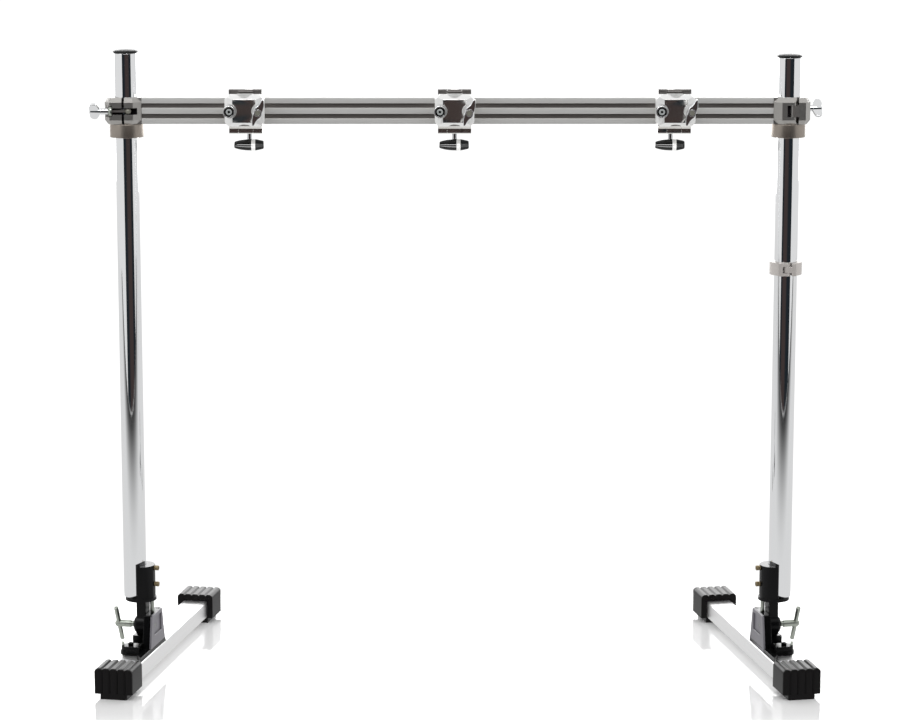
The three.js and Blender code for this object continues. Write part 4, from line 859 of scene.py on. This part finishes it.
POST_PIECES = (post_tube, post_cap, stop_collar, swing_bolt, bolt_washer, wing_nut)
LEG_PIECES = (saddle_bolts, bracket, spur_screw, dome_washer, tilt_bolt)
LEG_PIECES += (arm_screw, stop_bush, floor_bar, foot)
CLAMP_PIECES = (cup_bolt, lever_nut, lock_bolt, lock_handle)

crossbar()
for side_name, side_sign in SIDES:
    for build in POST_PIECES + LEG_PIECES:
        build(side_name, side_sign)
memory_pin()
for clamp_index in range(len(CLAMP_X)):
    for build in CLAMP_PIECES:
        build(f"clamp{clamp_index + 1}", clamp_index)


# Castings: they keep the solids' shapes, with rounded edges and a second finish here and there
# The faces that in_slot picks get painted shade, dark, so that the slot reads as deep.
def in_slot(local):
    """The faces inside an end clamp's bolt slot, closing slit and hinge window. The slot starts
    under the front face, which falls back beyond x = 13.7 at 11 in 13.3."""
    x, y, z = local.T
    front = -31 + 11 / 13.3 * np.maximum(x - 13.7, 0)
    deep = (y > front + 0.6) & (y < -19.4)
    slot = np.abs(z) < 5.6
    slit = np.abs(x + 2.9) < 2.3
    window = (np.abs(x - 2.6) < 2.8) & (np.abs(z) < 9.7) & (y > 24) & (y < 30.6)
    return (deep & (slot | slit)) | window


def on_slope(local):
    """The pipe jaw's four slopes and its edges, all that lies behind its flat pad."""
    return local[:, 1] > CUP_SEAT - 3.6


# The faces that on_ridge picks get the darker copy of the casting: painted shade.
def on_ridge(local):
    """The ridge over the pipe clamp, with the upper jaw's knuckle in it."""
    return (local[:, 2] > 27) & (local[:, 1] < -22) & (local[:, 1] > -33)


def on_fixed_half(local):
    """The body's half of the pipe clamp, in front of its plate."""
    return local[:, 1] < -39


# Second finishes: the slot's dark faces and the ridge's darker faces are painted shade; the blasted faces
# are a rougher, matt finish.
CASTINGS = {
    "end_casting": (CAST, "cast_aluminium", 0.7, [(SLOT_PAINTED_SHADE, in_slot)]),
    "clamp_jaw": (CAST, "cast_aluminium", 0.7, [(SLOT_PAINTED_SHADE, in_slot)]),
    "collar_band": (SILVER, "nickel", 0.7, []),
    "collar_gate": (SILVER, "nickel", 0.7, []),
    "post_saddle": (ENAMEL, "black_enamel", 0.9, []),
    "body": (POLISHED, "polished_aluminium", 0.8, [(RIDGE_SKIN_AND_PAINTED_SHADE, on_ridge), (BLASTED, on_fixed_half)]),
    "upper_jaw": (POLISHED, "polished_aluminium", 0.8, [(RIDGE_SKIN_AND_PAINTED_SHADE, on_ridge)]),
    "pipe_jaw": (POLISHED, "polished_aluminium", 1.1, [(BLASTED, on_slope)]),
}
OWN_PLACE = {name: end_place(side) for name, side in SIDES}
OWN_PLACE.update({f"clamp{index + 1}": clamp_place(index) for index in range(len(CLAMP_X))})

body_of = {node: body for body, nodes in frame["record"]["behaviour"]["bodies"].items() for node in nodes}
for node_name in frame["nodes"]:
    owner, kind = node_name.split("_", 1)
    if kind in CASTINGS:
        material, slot_name, edge, patches = CASTINGS[kind]
        piece = softened(node_name, material, body_of[node_name], edge)
        for patch_material, patch in patches:
            second_finish(piece, patch_material, OWN_PLACE[owner], patch)


# Studio
CAMERA_AT = (-0.0125, POST_Y * MM - 5.163, 1.494)
CAMERA_DOWN = math.radians(10.5)
FLOOR_HALF = 40.0
FLOOR_GLOSS = 0.26
FLAG_Y = POST_Y * MM - 1.7
GREY_FLAG_Z = -0.003
WHITE = (1.0, 1.0, 1.0, 1.0)
FADE = {"To Min": 1.0, "To Max": 0.0, "interpolation_type": "SMOOTHSTEP"}


def camera():
    """A long lens at the photograph's distance, looking a little down."""
    data = bpy.data.cameras.new("camera")
    data.lens = 125.2
    data.sensor_width = 36
    view = bpy.data.objects.new("camera", data)
    view.location = CAMERA_AT
    view.rotation_euler = (math.pi / 2 - CAMERA_DOWN, 0, 0)
    bpy.context.scene.collection.objects.link(view)
    bpy.context.scene.camera = view


def bare_material(name):
    """A material without nodes, and its empty tree."""
    material = bpy.data.materials.new(name)
    material.use_nodes = True
    material.node_tree.nodes.clear()
    return material, material.node_tree


def sheet(name, corners, material):
    """A flat four-cornered sheet of the studio."""
    mesh = bpy.data.meshes.new(name)
    mesh.from_pydata(corners, [], [(0, 1, 2, 3)])
    mesh.materials.append(material)
    piece = bpy.data.objects.new(name, mesh)
    bpy.context.scene.collection.objects.link(piece)
    return piece


def floor():
    """White paint, buffed where the legs stand: the gloss fades out round each floor bar, with the
    distance | |x| - post | across and |y| along. The polished metal mirrors the grey flag under
    the floor instead."""
    paint, tree = bare_material("white_floor_paint")
    where = add(tree, "ShaderNodeTexCoord")
    axes = add(tree, "ShaderNodeSeparateXYZ", None, Vector=where.outputs["Object"])
    buffed = add(tree, "ShaderNodeMath", {"operation": "MULTIPLY"})
    across = {**FADE, "From Min": 0.13, "From Max": 0.24, "To Min": FLOOR_GLOSS}
    lengthways = {**FADE, "From Min": 0.34, "From Max": 0.46}
    sides = (("X", POST_X * MM, across), ("Y", 0.0, lengthways))
    for index, (axis, middle, span) in enumerate(sides):
        aside = add(tree, "ShaderNodeMath", {"operation": "ABSOLUTE"}, Value=axes.outputs[axis])
        off = add(tree, "ShaderNodeMath", {"operation": "SUBTRACT", 1: middle})
        tree.links.new(aside.outputs[0], off.inputs[0])
        gap = add(tree, "ShaderNodeMath", {"operation": "ABSOLUTE"}, Value=off.outputs[0])
        fade = add(tree, "ShaderNodeMapRange", span, Value=gap.outputs[0])
        tree.links.new(fade.outputs[0], buffed.inputs[index])
    matt = add(tree, "ShaderNodeBsdfDiffuse", {"Color": linear("fafafa")})
    gloss = add(tree, "ShaderNodeBsdfAnisotropic", {"Color": WHITE, "Roughness": 0.07})
    coat = add(tree, "ShaderNodeMixShader", None, Fac=buffed.outputs[0])
    tree.links.new(matt.outputs[0], coat.inputs[1])
    tree.links.new(gloss.outputs[0], coat.inputs[2])
    add(tree, "ShaderNodeOutputMaterial", None, Surface=coat.outputs[0])
    far = FLOOR_HALF
    piece = sheet("studio_floor", [(-far, -far, 0), (far, -far, 0), (far, far, 0), (-far, far, 0)], paint)
    piece.visible_glossy = False


def flag(name, corners, cloth):
    """A cloth that only shows as a reflection, as a studio flag out of the picture does."""
    piece = sheet(name, corners, cloth)
    piece.visible_camera = False
    piece.visible_diffuse = False
    piece.visible_shadow = False
    piece.visible_transmission = False


def black_flag():
    """A dark cloth in front of the frame, warmer in its middle and clear from its other side."""
    black, tree = bare_material("black_flag_cloth")
    where = add(tree, "ShaderNodeTexCoord")
    axes = add(tree, "ShaderNodeSeparateXYZ", None, Vector=where.outputs["Object"])
    aside = add(tree, "ShaderNodeMath", {"operation": "ABSOLUTE"}, Value=axes.outputs["X"])
    span = {**FADE, "From Min": 0.4, "From Max": 0.9}
    middle = add(tree, "ShaderNodeMapRange", span, Value=aside.outputs[0])
    hue = add(tree, "ShaderNodeMix", {"data_type": "RGBA"}, Factor=middle.outputs["Result"])
    hue.inputs[MIX_FIRST].default_value = linear("20262b")
    hue.inputs[MIX_SECOND].default_value = linear("403736")
    dim = add(tree, "ShaderNodeEmission", {"Strength": 1.0}, Color=hue.outputs[MIX_RESULT])
    side = add(tree, "ShaderNodeNewGeometry")
    clear = add(tree, "ShaderNodeBsdfTransparent")
    cloth = add(tree, "ShaderNodeMixShader", None, Fac=side.outputs["Backfacing"])
    tree.links.new(clear.outputs[0], cloth.inputs[1])
    tree.links.new(dim.outputs[0], cloth.inputs[2])
    add(tree, "ShaderNodeOutputMaterial", None, Surface=cloth.outputs[0])
    left, right, low, high = -1.55, 2.1, 0.004, 1.5
    flat = [(left, low), (right, low), (right, high), (left, high)]
    flag("black_flag", [(x, FLAG_Y, z) for x, z in flat], black)


def grey_flag():
    """A cloth under the floor, almost black in front and paler towards the frame."""
    grey, tree = bare_material("grey_flag_cloth")
    where = add(tree, "ShaderNodeTexCoord")
    axes = add(tree, "ShaderNodeSeparateXYZ", None, Vector=where.outputs["Object"])
    span = {**FADE, "From Min": FLAG_Y, "From Max": FLAG_Y + 1.35, "To Min": 0.04, "To Max": 0.74}
    level = add(tree, "ShaderNodeMapRange", span, Value=axes.outputs["Y"])
    glow = add(tree, "ShaderNodeEmission", {"Color": WHITE}, Strength=level.outputs["Result"])
    add(tree, "ShaderNodeOutputMaterial", None, Surface=glow.outputs[0])
    half, front, back = 6, FLAG_Y, 5
    flat = [(-half, front), (half, front), (half, back), (-half, back)]
    flag("grey_flag", [(x, y, GREY_FLAG_Z) for x, y in flat], grey)


def lamp(name, location, aim, size, power):
    """A soft rectangular lamp that points at a place."""
    data = bpy.data.lights.new(name, "AREA")
    data.shape = "RECTANGLE"
    data.size, data.size_y = size
    data.energy = power
    light = bpy.data.objects.new(name, data)
    light.location = location
    direction = np.array(aim, float) - np.array(location, float)
    yaw = math.atan2(direction[1], direction[0])
    pitch = math.atan2(-direction[2], np.hypot(direction[0], direction[1]))
    light.rotation_euler = (math.pi / 2 - pitch, 0, yaw - math.pi / 2)
    light.visible_camera = False
    light.visible_diffuse = False
    bpy.context.scene.collection.objects.link(light)
    return light


def grip_strips():
    """Two narrow lamps for the dipped grips alone, which draw the two pale lines along them."""
    grips = bpy.data.collections.new("dipped_grips")
    for piece in bpy.data.objects:
        if piece.name.endswith("_lock_handle_grip"):
            grips.objects.link(piece)
    long, aim = 3.0, (0, 0.1, 0.88)
    low = lamp("low_strip", (0, -1.0, 0.06), aim, size=(long, 0.6), power=70)
    level = lamp("level_strip", (0, -1.5, 1.08), aim, size=(long, 0.4), power=60)
    for strip in (low, level):
        strip.light_linking.receiver_collection = grips


def white_room():
    """Even white light from all round, which polished metal sees a little greyer."""
    world = bpy.data.worlds.new("white_room")
    world.use_nodes = True
    bpy.context.scene.world = world
    tree = world.node_tree
    wall = tree.nodes["Background"]
    wall.inputs["Color"].default_value = WHITE
    path = add(tree, "ShaderNodeLightPath")
    seen, mirrored = 1.14, 0.78
    levels = {"To Min": seen, "To Max": mirrored}
    level = add(tree, "ShaderNodeMapRange", levels, Value=path.outputs["Is Glossy Ray"])
    tree.links.new(level.outputs["Result"], wall.inputs["Strength"])


camera()
floor()
black_flag()
grey_flag()
white_room()
lamp("front_strip", (0, -2.9, 3.4), aim=(0, 0, 0.8), size=(3.2, 0.45), power=40)
lamp("key_softbox", (-2.4, -1.6, 3.2), aim=(0, 0, 0.5), size=(1.6, 1.6), power=25)
lamp("back_wall", (0, 3.4, 1.3), aim=(0, 0, 0.8), size=(6.0, 1.8), power=110)
grip_strips()
bpy.context.scene.view_settings.view_transform = "Standard"
